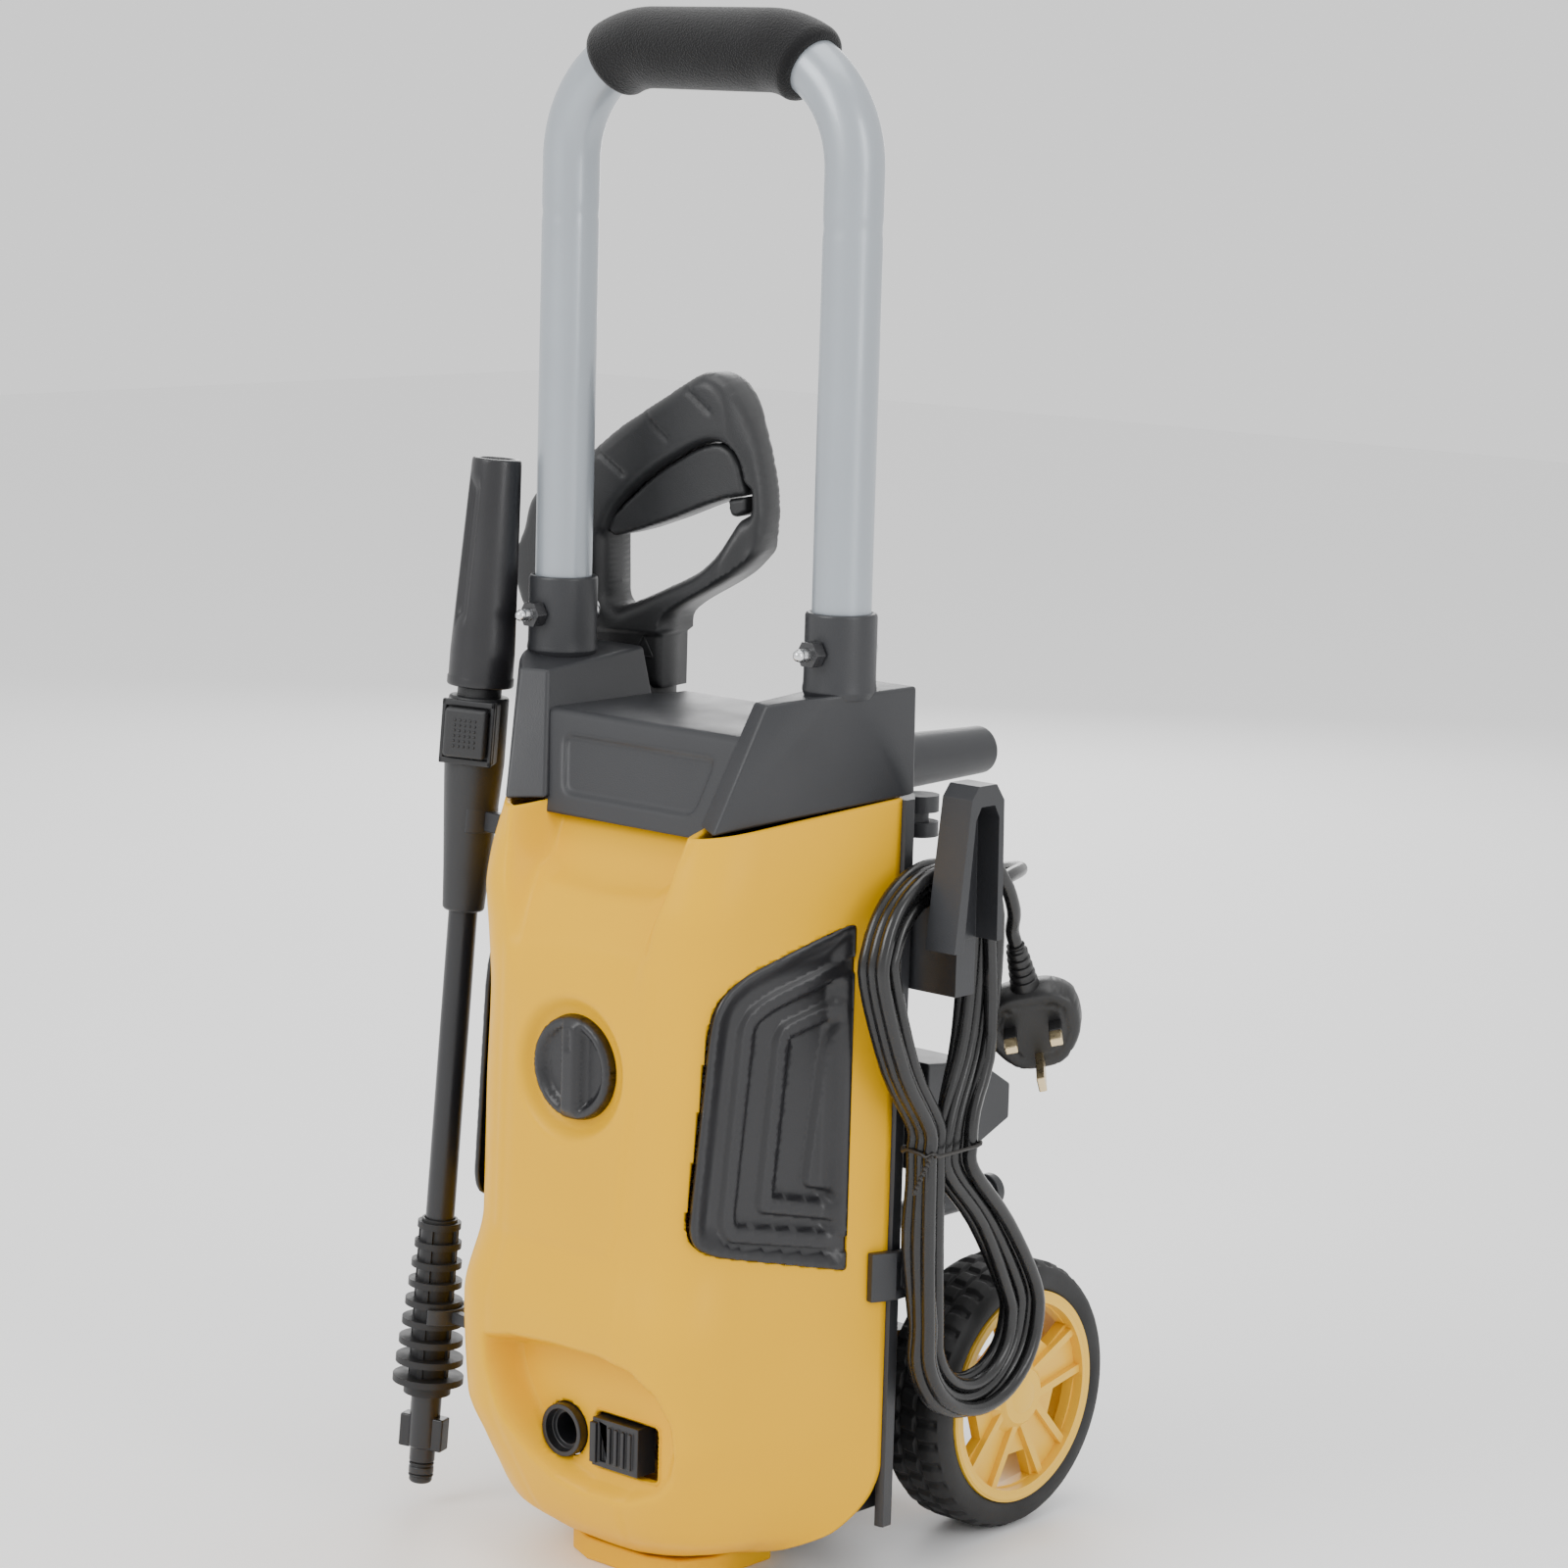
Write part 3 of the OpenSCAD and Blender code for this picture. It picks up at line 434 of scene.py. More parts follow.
def pillow(name, outline, holes, height, place, slot, step=2.0, creases=()):
    """A body round an outline: height(point, distance from the edge) is half its thickness there."""
    loops = [[Vector(p) for p in loop] for loop in [outline] + holes]
    dense = []
    for loop in loops:
        dense.append([])
        for i, b in enumerate(loop):
            a = loop[i - 1]
            parts = max(1, round((b - a).length / step))
            dense[-1] += [a + (b - a) * (k / parts) for k in range(parts)]
    points, edges = [], []
    for loop in dense:
        base = len(points)
        points += loop
        edges += [(base + i, base + (i + 1) % len(loop)) for i in range(len(loop))]
    for loop in creases:
        base = len(points)
        for i, b in enumerate(loop):
            a = Vector(loop[i - 1])
            parts = max(1, round((Vector(b) - a).length / step))
            points += [a + (Vector(b) - a) * (k / parts) for k in range(parts)]
        count = len(points) - base
        edges += [(base + i, base + (i + 1) % count) for i in range(count)]
    guard = [list(loop) for loop in loops + [list(map(Vector, c)) for c in creases]]
    low = [min(p[k] for p in loops[0]) for k in (0, 1)]
    high = [max(p[k] for p in loops[0]) for k in (0, 1)]
    row, y = 0, low[1]
    while y < high[1]:
        x = low[0] + (step / 2 if row % 2 else 0)
        while x < high[0]:
            p = (x, y)
            if inside(p, loops[0]) and not any(inside(p, h) for h in loops[1:]) \
                    and min(edge_distance(p, loop) for loop in guard) > 0.45 * step:
                points.append(Vector(p))
            x += step
        y += step * 0.87
        row += 1
    verts2, _, tris, _, _, _ = delaunay_2d_cdt(points, edges, [], 0, 1e-6)
    keep = []
    for tri in tris:
        c = sum((verts2[i] for i in tri), Vector((0, 0))) / 3
        if inside(c, loops[0]) and not any(inside(c, h) for h in loops[1:]):
            keep.append(tuple(tri))
    verts, faces = [], []
    for side in (1, -1):
        base = len(verts)
        for p in verts2:
            d = min(edge_distance(p, loop) for loop in loops)
            verts.append(place(p[0], p[1], side * height(p, d, side)))
        faces += [tuple(base + i for i in (tri if side > 0 else tri[::-1])) for tri in keep]
    n = len(verts2)
    used = {}
    for tri in keep:
        for i in range(3):
            key = frozenset((tri[i], tri[i - 1]))
            used.setdefault(key, []).append((tri[i - 1], tri[i]))
    for sides in used.values():
        if len(sides) == 1:
            a, b = sides[0]
            faces.append((b, a, a + n, b + n))
    obj = add_object(name, verts, faces, slot)
    bm = bmesh.new()
    bm.from_mesh(obj.data)
    bmesh.ops.remove_doubles(bm, verts=bm.verts, dist=0.00002)
    bmesh.ops.recalc_face_normals(bm, faces=bm.faces)
    bm.to_mesh(obj.data)
    bm.free()
    obj.data.shade_smooth()
    return obj


# ---------- mains lead: the cord comes first ----------

def spline_points(points, steps):
    """A smooth curve through points, given in millimetres."""
    pts = [Vector(p) for p in points]
    out = []
    for i in range(len(pts) - 1):
        a, b, c, d = pts[max(0, i - 1)], pts[i], pts[i + 1], pts[min(len(pts) - 1, i + 2)]
        for k in range(steps):
            t = k / steps
            out.append(0.5 * (2 * b + (c - a) * t + (2 * a - 5 * b + 4 * c - d) * t * t
                              + (3 * b - a - 3 * c + d) * t ** 3))
    return out + [pts[-1]]


def path_length(points):
    return sum((b - a).length for a, b in zip(points, points[1:]))


# Each turn's place in the hank: how many strands in from the outside, and its layer across the thickness.
TURN_PLACES = [(0, 0), (1, 0), (2, 0), (2, 1), (1, 1), (0, 1), (0, 2)]
FEED = [(36, 130, 330), (37, 142, 330), (44, 155, 331), (58, 159, 333), (74, 153, 336), (90, 141, 340),
        (104, 124, 343),
        (112, 104, 343), (115.5, 86, 338)]
LEAD = [(126, 72, 351), (126, 84, 346), (124, 95, 330), (119.5, 104, 310)]


def hank_turn(k, inset):
    """One turn in Y and Z: over the hook, in at the tie, round the bottom and in again."""
    top, waist, low = 44.2 - inset, 15.4 - inset, 42.2 - inset

    def loose(i):
        return 1.1 * math.sin(1.7 * k + 0.9 * i) + 0.7 * math.sin(2.9 * k + 0.41 * i)

    points = []
    for i in range(8):
        a = math.radians(24 + 164 * i / 7)
        points.append((40 + (top + 0.5 * loose(i)) * math.cos(a), 312 + (top + 0.5 * loose(i)) * math.sin(a)))
    points += [(mix(40 - top, 50 - waist, 0.52) - 2.5 + 0.4 * loose(9), 262), (50 - waist - 1.0, 232),
               (50 - waist, 219),
               (50 - waist + 0.5, 204), (mix(50 - waist, 80 - low, 0.35) - 1.0 + loose(11), 172)]
    for i in range(9):
        a = math.radians(168 + 214 * i / 8)
        points.append((80 + (low + loose(12 + i)) * math.cos(a), 125 + (low + loose(12 + i)) * math.sin(a)))
    points += [(mix(80 + low, 50 + waist, 0.5) + 2.0, 176), (50 + waist + 2.5, 206), (50 + waist, 220),
               (50 + waist + 1.5, 236), (mix(50 + waist, 40 + top, 0.6) + 1.0, 272)]
    return points


def lead_route():
    points = [Vector(p) for p in FEED]
    layers = [mix(HANK_X0 + CABLE_R + 0.2, HANK_X1 - CABLE_R - 0.2, k / 2) for k in range(3)]
    inset = [6.4 * place[0] for place in TURN_PLACES]
    depth = [layers[place[1]] for place in TURN_PLACES]
    for k in range(len(TURN_PLACES)):
        here = hank_turn(k, inset[k])
        after = hank_turn(k + 1, inset[min(k + 1, len(inset) - 1)])
        for i, (y, z) in enumerate(here):
            share = smooth((i / len(here) - 0.86) / 0.14) if k < len(TURN_PLACES) - 1 else 0
            y, z = mix(y, after[i][0], share), mix(z, after[i][1], share)
            x = mix(depth[k], depth[min(k + 1, len(depth) - 1)], share)
            points.append(Vector((x, y, z)))
    return points + [Vector(p) for p in LEAD]


def make_plug_frame():
    m = (Matrix.Translation(PLUG_AT) @ Matrix.Rotation(math.radians(41), 4, "Z")
         @ Matrix.Rotation(math.radians(20), 4, "X") @ Matrix.Rotation(math.radians(-14), 4, "Y"))
    return m


PLUG = make_plug_frame()


def on_plug(x, y, z):
    return PLUG @ Vector((x, y, z))


def make_plug():
    """A British fused plug: a rounded shell, its ribbed strain relief and three pins."""
    outline = fillet([(-13, 22), (13, 22), (24.5, 14), (24.5, -6), (12, -23), (-12, -23), (-24.5, -6),
                      (-24.5, 14)],
                     [6, 6, 9, 10, 8, 8, 10, 9])

    def half(p, d, side):
        edge = 10 * (1 - (1 - min(1, d / 5)) ** 2.2) ** 0.5 if d < 5 else 10
        if side < 0:
            edge = 10 * (1 - (1 - min(1, d / 2.5)) ** 2) ** 0.5
            if 7.4 < d < 8.6:
                edge -= 0.7
        return max(edge, 0.0) if d > 0 else 0.0

    body = pillow("plug_body_looks", outline, [], half, lambda x, z, t: on_plug(x, 2 + t, z), "plug_shell",
                  1.6)
    put(body, "body", "plug_shell", "plug_body")
    profile = [(0, 17), (7.4, 17), (7.4, 21.5)]
    for k in range(5):
        z = 23 + 4.1 * k
        r = mix(7.0, 5.0, k / 5)
        profile += [(r, z), (r, z + 2.3), (r - 1.3, z + 2.6), (r - 1.5, z + 3.8)]
    profile += [(4.7, 44.6), (4.5, 45), (3.3, 45), (0, 44)]
    relief = turned("plug_relief", profile, on_plug(0, 2, 0), PLUG.to_3x3() @ Vector((0, 0, 1)), "plug_shell",
                    32)
    put(rounded(relief, 0.35, 2), "body", "plug_shell")
    pins = []
    for name, x, z, w, h, reach, sleeve in (("pin_line", -11.1, 3, 6.3, 4, 17.7, 9),
                                            ("pin_neutral", 11.1, 3, 6.3, 4, 17.7, 9),
                                            ("pin_earth", 0, -16.5, 4, 8, 22.7, 0)):
        for part, near, far, slot in ((name, sleeve, reach, "brass_fitting"),
                                      (name + "_sleeve", -1, sleeve, "plug_shell")):
            if far <= near or (part.endswith("sleeve") and not sleeve):
                continue
            near = near if part != name or sleeve else -1
            verts = [on_plug(x + sx * w / 2, -8 - y, z + sz * h / 2) for y in (near, far) for sx, sz in
                     ((-1, -1), (1, -1), (1, 1), (-1, 1))]
            faces = [(0, 1, 2, 3), (7, 6, 5, 4), (0, 4, 5, 1), (1, 5, 6, 2), (2, 6, 7, 3), (3, 7, 4, 0)]
            pin = add_object(part, verts, faces, slot)
            bm = bmesh.new()
            bm.from_mesh(pin.data)
            bmesh.ops.recalc_face_normals(bm, faces=bm.faces)
            bm.to_mesh(pin.data)
            bm.free()
            rounded(pin, 0.7, 3)
            put(pin, "body", slot)
            if part == name:
                pins.append(pin)
    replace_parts(pins[0], "plug_pins")
    return [body, relief, *pins]


def make_lead():
    route = lead_route()
    end = on_plug(0, 2, 47)
    route[-1] = Vector(on_plug(0, 2, 58)).lerp(Vector(LEAD[-1]), 0.3)
    route += [end, on_plug(0, 2, 42)]
    points = spline_points(route, 4)
    data = bpy.data.curves.new("mains_lead", "CURVE")
    data.dimensions = "3D"
    data.bevel_depth = CABLE_R * MM
    data.bevel_resolution = 5
    data.use_fill_caps = True
    spline = data.splines.new("POLY")
    spline.points.add(len(points) - 1)
    for p, q in zip(spline.points, points):
        p.co = (*(q * MM), 1)
    data.materials.append(MATERIALS["cable_sheath"])
    lead = bpy.data.objects.new("mains_lead", data)
    bpy.context.scene.collection.objects.link(lead)
    put(lead, "body", "cable_sheath", "cord_feed", "cord_hank", "plug_lead")
    print("lead length", round(path_length(points)))
    return lead


def make_tie():
    """The thin twisted wire that holds the hank at its waist."""
    points = []
    low, high = (HANK_X0 - 1.3, 29.5), (HANK_X1 + 1.2, 70.5)
    loop = fillet([low, (high[0], low[1]), high, (low[0], high[1])], 6, 6)
    for i, p in enumerate(loop + loop[:1]):
        points.append((p[0], p[1], 220 + 0.8 * math.sin(i * 1.3)))
    wire = tube("cord_tie_looks", spline_points(points, 2), [0.9] * (2 * (len(points) - 1) + 1), "tie_wire",
                10)
    put(wire, "body", "tie_wire", "cord_tie")
    twist = []
    for i in range(60):
        a = i * 0.9
        twist.append((HANK_X1 + 0.6 + 0.7 * math.cos(a), 30 - 0.2 * i + 0.7 * math.sin(a), 220 - 0.28 * i))
    put(tube("cord_tie_twist", twist, [0.75] * len(twist), "tie_wire", 8), "body", "tie_wire")


look_through()
plug_pieces = make_plug()
lead = make_lead()
make_tie()


# ---------- front shell ----------

# Height, seam, corner start, corner control, corner end and how far forward the centre is.
STATIONS = [
    (12, (50, -6), (42, -14), (36, -34), (18, -40), -41),
    (20, (76, -4), (64, -16), (54, -48), (26, -54), -55),
    (30, (94, 12), (74, -26), (64, -62), (32, -66), -67),
    (49, (103, 28), (79, -38), (66, -72), (36, -76), -77),
    (62, SEAM, (80, -42), (69, -78), (40, -81), -82), (85, SEAM, (84, -48), (75, -86), (46, -88), -89),
    (134, SEAM, (84, -50), (77, -88), (48, -90), -91), (175, SEAM, (79, -48), (70, -80), (44, -82), -83),
    (236, SEAM, (79, -48), (70, -79), (44, -80.5), -81.5),
    (285, SEAM, (78, -48), (69, -78), (43, -79.5), -80),
    (310, SEAM, (80, -47), (71, -78), (46, -79), -77), (333, SEAM, (82, -46), (74, -78), (50, -78), -69),
    (350, SEAM, (83, -43), (75, -73), (54, -74), -57), (375, SEAM, (82, -34), (73, -63), (58, -66), -42)]
FLAT_STATIONS = [(s[0], [*s[1], *s[2], *s[3], *s[4], s[5]]) for s in STATIONS]
PANEL = [(-48, 312), (-2.5, 318), (35, 318), (50, 311), (48, 275), (37, 229), (35, 187), (30, 172),
         (-48, 172)]
SCOOP = [(-61, 384), (-56, 364), (-46, 347), (-34, 340.5), (0, 338), (34, 340.5), (46, 347), (56, 364),
         (61, 384)]
RECESS = [(-49, 119), (-28, 124), (0, 126), (30, 126), (50, 122), (63, 112), (70, 97), (71, 80), (66, 64),
          (56, 54),
          (38, 48), (12, 48), (-8, 53), (-22, 63), (-33, 77), (-42, 91), (-47, 103)]
RECESS_LIP, SCOOP_DEPTH, PANEL_RISE = 9.0, 4.5, 1.0
VENT_OUTER = [(5, 330), (-11, 325), (-49.5, 309.6), (-61, 299), (-64.4, 286), (-72.6, 190), (-70, 182),
              (-60, 176.5),
              (9, 161.6), (9, 330)]
VENT_LOOPS = [
    [(30, 322), (3, 313), (-34, 299), (-45, 292), (-48.6, 284), (-56.6, 191), (-53, 181.5), (6, 171),
     (30, 168)],
    [(30, 304), (5.4, 294.6), (-26, 283.5), (-28.8, 277), (-35.6, 196.5), (-33.5, 193.2), (6, 185.2),
     (30, 181)],
    [(30, 320), (4.2, 284.5), (-1.8, 273.4), (-10, 205.4), (-8, 202.4), (5.4, 199.4), (30, 195)]]
SIDE_RUN = Vector((26, 79, 0)).normalized()
SIDE_OUT = Vector((SIDE_RUN.y, -SIDE_RUN.x, 0))


def at_height(z):
    """Each plan value at a height, on a smooth curve through the stations."""
    k = max(i for i, (h, _) in enumerate(FLAT_STATIONS) if h <= z or i == 0)
    k = min(k, len(FLAT_STATIONS) - 2)
    z0, z1 = FLAT_STATIONS[k][0], FLAT_STATIONS[k + 1][0]
    t = (z - z0) / (z1 - z0)

    def slope(i, c):
        lo, hi = max(0, i - 1), min(len(FLAT_STATIONS) - 1, i + 1)
        here = FLAT_STATIONS[i][1][c]
        before = (here - FLAT_STATIONS[lo][1][c]) / max(1, FLAT_STATIONS[i][0] - FLAT_STATIONS[lo][0])
        after = (FLAT_STATIONS[hi][1][c] - here) / max(1, FLAT_STATIONS[hi][0] - FLAT_STATIONS[i][0])
        if i in (0, len(FLAT_STATIONS) - 1):
            return after if i == 0 else before
        return 0 if before * after <= 0 else 2 * before * after / (before + after)

    values = []
    for c in range(9):
        a, b = FLAT_STATIONS[k][1][c], FLAT_STATIONS[k + 1][1][c]
        ma, mb = slope(k, c) * (z1 - z0), slope(k + 1, c) * (z1 - z0)
        values.append((2 * t ** 3 - 3 * t * t + 1) * a + (t ** 3 - 2 * t * t + t) * ma
                      + (3 * t * t - 2 * t ** 3) * b + (t ** 3 - t * t) * mb)
    return values


def depth_inside(p, outline):
    d = edge_distance(p, outline)
    return d if inside(p, outline) else -d


def shell_point(values, z, t):
    """One point of the shell: t is 0 at the right seam, 1 at the front's centre and 2 at the left seam."""
    side = 1 if t <= 1 else -1
    t = 1 - abs(1 - t)
    seam, a, c, b, front = values[0:2], values[2:4], values[4:6], values[6:8], values[8]
    if t < 0.25:
        s = t / 0.25
        x, y = mix(seam[0], a[0], s), mix(seam[1], a[1], s)
    elif t < 0.5:
        s = (t - 0.25) / 0.25
        x, y = (a[k] * (1 - s) ** 2 + c[k] * 2 * s * (1 - s) + b[k] * s * s for k in (0, 1))
    else:
        s = (t - 0.5) / 0.5
        x = b[0] * (1 - s)
        y = mix(front, b[1], smooth((x / b[0] - 0.8) / 0.2))
        y -= 1.2 * (1 - (x / b[0]) ** 2) * (1 - smooth((z - 300) / 40))
    x *= side
    if y < -50:
        y -= PANEL_RISE * smooth((depth_inside((x, z), PANEL) + 2.5) / 5)
        dish = math.hypot(x, z - KNOB_Z)
        y = mix(y, -76.5, 1 - smooth((dish - 27.5) / 9)) if dish < 37 else y
        if z < 140:
            y = mix(y, RECESS_Y, smooth(depth_inside((x, z), RECESS) / RECESS_LIP))
    lifted = z + (y + 61) * 0.152 * smooth((z - 330) / 45)
    if z > 325 and y < -30:
        d = depth_inside((x, lifted), SCOOP)
        y += SCOOP_DEPTH * smooth(d / 7) - 0.9 * math.exp(-((d + 0.6) / 1.5) ** 2)
    return Vector((x, y, lifted))


def columns():
    """Places round the shell, close together where the front has its features."""
    half = [0.25 * i / 26 for i in range(26)] + [0.25 + 0.25 * i / 24 for i in range(24)]
    half += [0.5 + 0.5 * i / 44 for i in range(45)]
    return half + [2 - t for t in reversed(half[:-1])]


def cut(obj, *cutters):
    for cutter in cutters:
        modifier(obj, "BOOLEAN", operation="DIFFERENCE", solver="EXACT", object=cutter)
    evaluated(obj)
    for cutter in cutters:
        bpy.data.objects.remove(cutter)
    return obj


def prism(name, outline, place, low, high):
    n = len(outline)
    verts = [place(p[0], p[1], t) for t in (low, high) for p in outline]
    faces = [tuple(range(n))[::-1], tuple(range(n, 2 * n))]
    faces += [(i, (i + 1) % n, n + (i + 1) % n, n + i) for i in range(n)]
    obj = add_object(name, verts, faces, "black_trim", False)
    bm = bmesh.new()
    bm.from_mesh(obj.data)
    bmesh.ops.recalc_face_normals(bm, faces=bm.faces)
    bm.to_mesh(obj.data)
    bm.free()
    return obj


def on_side(y, z, out, side=1):
    """A point of the side wall from its world Y and height; out is the distance outwards."""
    p = Vector((79, -48, 0)) + SIDE_RUN * ((y + 48) / SIDE_RUN.y) + SIDE_OUT * out
    return Vector((side * p.x, p.y, z))


def make_front_shell():
    rows = []
    z = 12.0
    while z <= 375.01:
        values = at_height(z)
        rows.append([shell_point(values, z, t) for t in reversed(columns())])
        z += 1.5 if z < 26 else 2.0 if z < 374 else 1.0
    shell = grid("front_shell_looks", rows, "yellow_shell", thickness=3.0, outward=1.0)
    shell = evaluated(shell)
    cutters = []
    for side in (1, -1):
        outline = fillet(VENT_OUTER, [1, 14, 10, 10, 10, 6, 5, 8, 2, 2])
        cutters.append(prism(f"vent_cut_{side}", outline, lambda y, z, t, s=side: on_side(y, z, t, s), -14,
                             14))
    cutters.append(prism("outlet_cut", arc(OUTLET_X, OUTLET_Z, 13.5, 0, 352.5, 47),
                         lambda x, z, t: Vector((x, t, z)), -78, -60))
    slot = fillet([(11, 62.5), (52, 62.5), (52, 89.5), (11, 89.5)], 3)
    cutters.append(prism("slider_cut", slot, lambda x, z, t: Vector((x, t, z)), -78, -60))
    cut(shell, *cutters)
    shell.data.shade_smooth()
    modifier(shell, "WEIGHTED_NORMAL", keep_sharp=True, weight=60)
    put(shell, "body", "yellow_shell", "front_shell")
    bezel = fillet([(9, 60.5), (54, 60.5), (54, 91.5), (9, 91.5)], 4.5)
    ring = pillow("slider_bezel", bezel, [slot],
                  lambda p, d, side: 2.2 * (1 - (1 - min(1, d / 0.9)) ** 2) ** 0.5
                  if d > 0 else 0, lambda x, z, t: Vector((x, RECESS_Y + 1.0 - t, z)), "yellow_shell", 1.2)
    put(ring, "body", "yellow_shell")


def offset_loop(loop, distance):
    """The loop moved inwards, to the left of its direction of travel."""
    out = []
    for i, p in enumerate(loop):
        a, b = Vector(loop[i - 1]), Vector(loop[(i + 1) % len(loop)])
        p = Vector(p)
        u, v = (p - a).normalized(), (b - p).normalized()
        n1, n2 = Vector((-u.y, u.x)), Vector((-v.y, v.x))
        n = (n1 + n2).normalized()
        out.append(p + n * distance / max(0.35, n.dot(n1)))
    return out


def ladder(d, ups):
    """A height that changes between given distances: ups is a list of (distance, height)."""
    for (d0, h0), (d1, h1) in zip(ups, ups[1:]):
        if d < d1:
            return mix(h0, h1, smooth((d - d0) / (d1 - d0)))
    return ups[-1][1]


def make_vent(side):
    """A louvred panel: nested steps that go inwards and open to the rear."""
    outer = fillet(VENT_OUTER, [1, 14, 10, 10, 10, 6, 5, 8, 2, 2], 4)
    loops = [fillet(loop, 4.0, 3) for loop in VENT_LOOPS]
    steps = ((0.9, 7.0, 10.5), (0.9, 7.0, 10.5), (0.9,))
    creases = [loop for loop in loops]
    for loop, ds in zip(loops, steps):
        creases += [offset_loop(loop, d) for d in ds]
    creases.append(offset_loop(outer, 1.2))
    levels = [[(0, -3.4), (0.9, -1.6), (7.0, -2.0), (10.5, -6.6)],
              [(0, -6.6), (0.9, -4.4), (7.0, -4.8), (10.5, -9.6)],
              [(0, -9.6), (0.9, -6.6), (9, -7.0)]]

    def height(p, d, face):
        h = mix(2.0, -3.4, smooth(d / 12.5)) if d > 1.2 else 2.0 - 1.2 * (1 - d / 1.2) ** 2
        for loop, level in zip(loops, levels):
            inner = depth_inside(p, loop)
            if inner > -0.01:
                h = ladder(max(0, inner), level)
        rear = smooth((p[0] + 1.5) / 7.5)
        h = mix(h, 0.2 if h < -2.5 else h * 0.6, rear)
        return h if face > 0 else 2.2 - h

    panel = pillow(f"side_vent_{'right' if side > 0 else 'left'}", outer, [], height,
                   lambda y, z, t: on_side(y, z, t, side), "black_trim", 2.2, creases)
    put(panel, "body", "black_trim")
    return panel


# ---------- top cover ----------

def shoulder_edge(z):
    """How far from the centre plane a shoulder's inner front edge is."""
    return 50.6 + 16.3 * (z - 377) / 59


def make_top_cover():
    front = [(mix(-49.4, -38.6, i / 34), mix(370.6, 411, i / 34)) for i in range(35)]
    edge = fillet([(-38.6, 411), (-36.3, 419), (-26, 419)], 6.5, 8)[9:18]
    top = [(mix(-27, 56, i / 20), 419) for i in range(21)]
    rear = [(58.6, 418.3), (60, 416.5), (60, 404), (60, 389)]
    recess = fillet([(-50.5, 408.5), (-43.2, 379.5), (43.2, 379.5), (50.5, 408.5)], 7, 6)
    rows = []
    for y, z in front + [tuple(p) for p in edge] + top + rear:
        half = min(64.5, shoulder_edge(min(z, 419)) + 3)
        half = min(half, 58.5) if y > 38 else half
        row = []
        for i in range(89):
            x = mix(-half, half, i / 88)
            sunk = 1.9 * smooth((depth_inside((x, z), recess) + 0.2) / 2.6) if z < 412 else 0
            row.append(Vector((x, y + sunk * 0.96, z - sunk * 0.26)))
        rows.append(row)
    bridge = grid("top_cover_bridge", rows, "black_shell", thickness=3.0, outward=1.0)
    put(evaluated(bridge), "body", "black_shell", "top_cover")
    bottom = [(50.6, -50.4), (67.9, -60.8), (105, 31), (107, 38), (56, 38)]
    top_ring = [(66.9, -33.3, 436), (80.2, -39.7, 436.4)]
    top_ring += [tuple(p) for p in spline_points([(80.2, -39.7, 436.4), (92, -28, 439.5), (102.5, -13, 441.5),
                                                  (107, 5, 442),
                                                  (107, 37, 442)], 4)[1:]]
    top_ring.append((70, 37, 442))
    for name, side in (("right", 1), ("left", -1)):
        points = [(x, y, 375.4 + (y + 61) * 0.152) for x, y in bottom] + top_ring
        bm = bmesh.new()
        for x, y, z in points:
            bm.verts.new(Vector((side * x, y, z)) * MM)
        bmesh.ops.convex_hull(bm, input=bm.verts)
        bmesh.ops.dissolve_limit(bm, angle_limit=math.radians(3), verts=bm.verts, edges=bm.edges)
        bmesh.ops.recalc_face_normals(bm, faces=bm.faces)
        mesh = bpy.data.meshes.new("shoulder_" + name)
        bm.to_mesh(mesh)
        bm.free()
        mesh.materials.append(MATERIALS["black_shell"])
        mesh.shade_smooth()
        obj = bpy.data.objects.new("shoulder_" + name, mesh)
        bpy.context.scene.collection.objects.link(obj)
        put(rounded(obj, 1.7, 4, 12), "body", "black_shell")
        profile = [(14.1, 438), (16.2, 438.4), (17.5, 441.6), (17.4, 443.2), (17.1, 445), (17, 449),
                   (17, 476.6), (16.4, 478),
                   (15.2, 478.3), (14.1, 477.6)]
        collar = turned("collar_" + name, profile, (side * LEG_X, 0, 0), (0, 0, 1), "black_shell", 72)
        put(rounded(collar, 0.3, 2, 25), "body", "black_shell")


# ---------- handle ----------

def handle_line(foot=437):
    """The handle's centre line from the foot of the right leg to the foot of the left one."""
    top, bend_z, bend_x = TOP_Z, TOP_Z - BEND_R, LEG_X - BEND_R
    legs = [Vector((LEG_X, 0, mix(foot, bend_z, i / 90))) for i in range(90)]
    bend = [Vector((bend_x + BEND_R * math.cos(a), 0, bend_z + BEND_R * math.sin(a)))
            for a in (math.radians(90 * i / 30) for i in range(30))]
    straight = [Vector((mix(bend_x, -bend_x, i / 26), 0, top)) for i in range(27)]
    other = [Vector((-p.x, 0, p.z)) for p in reversed(legs + bend)]
    return legs + bend + straight + other


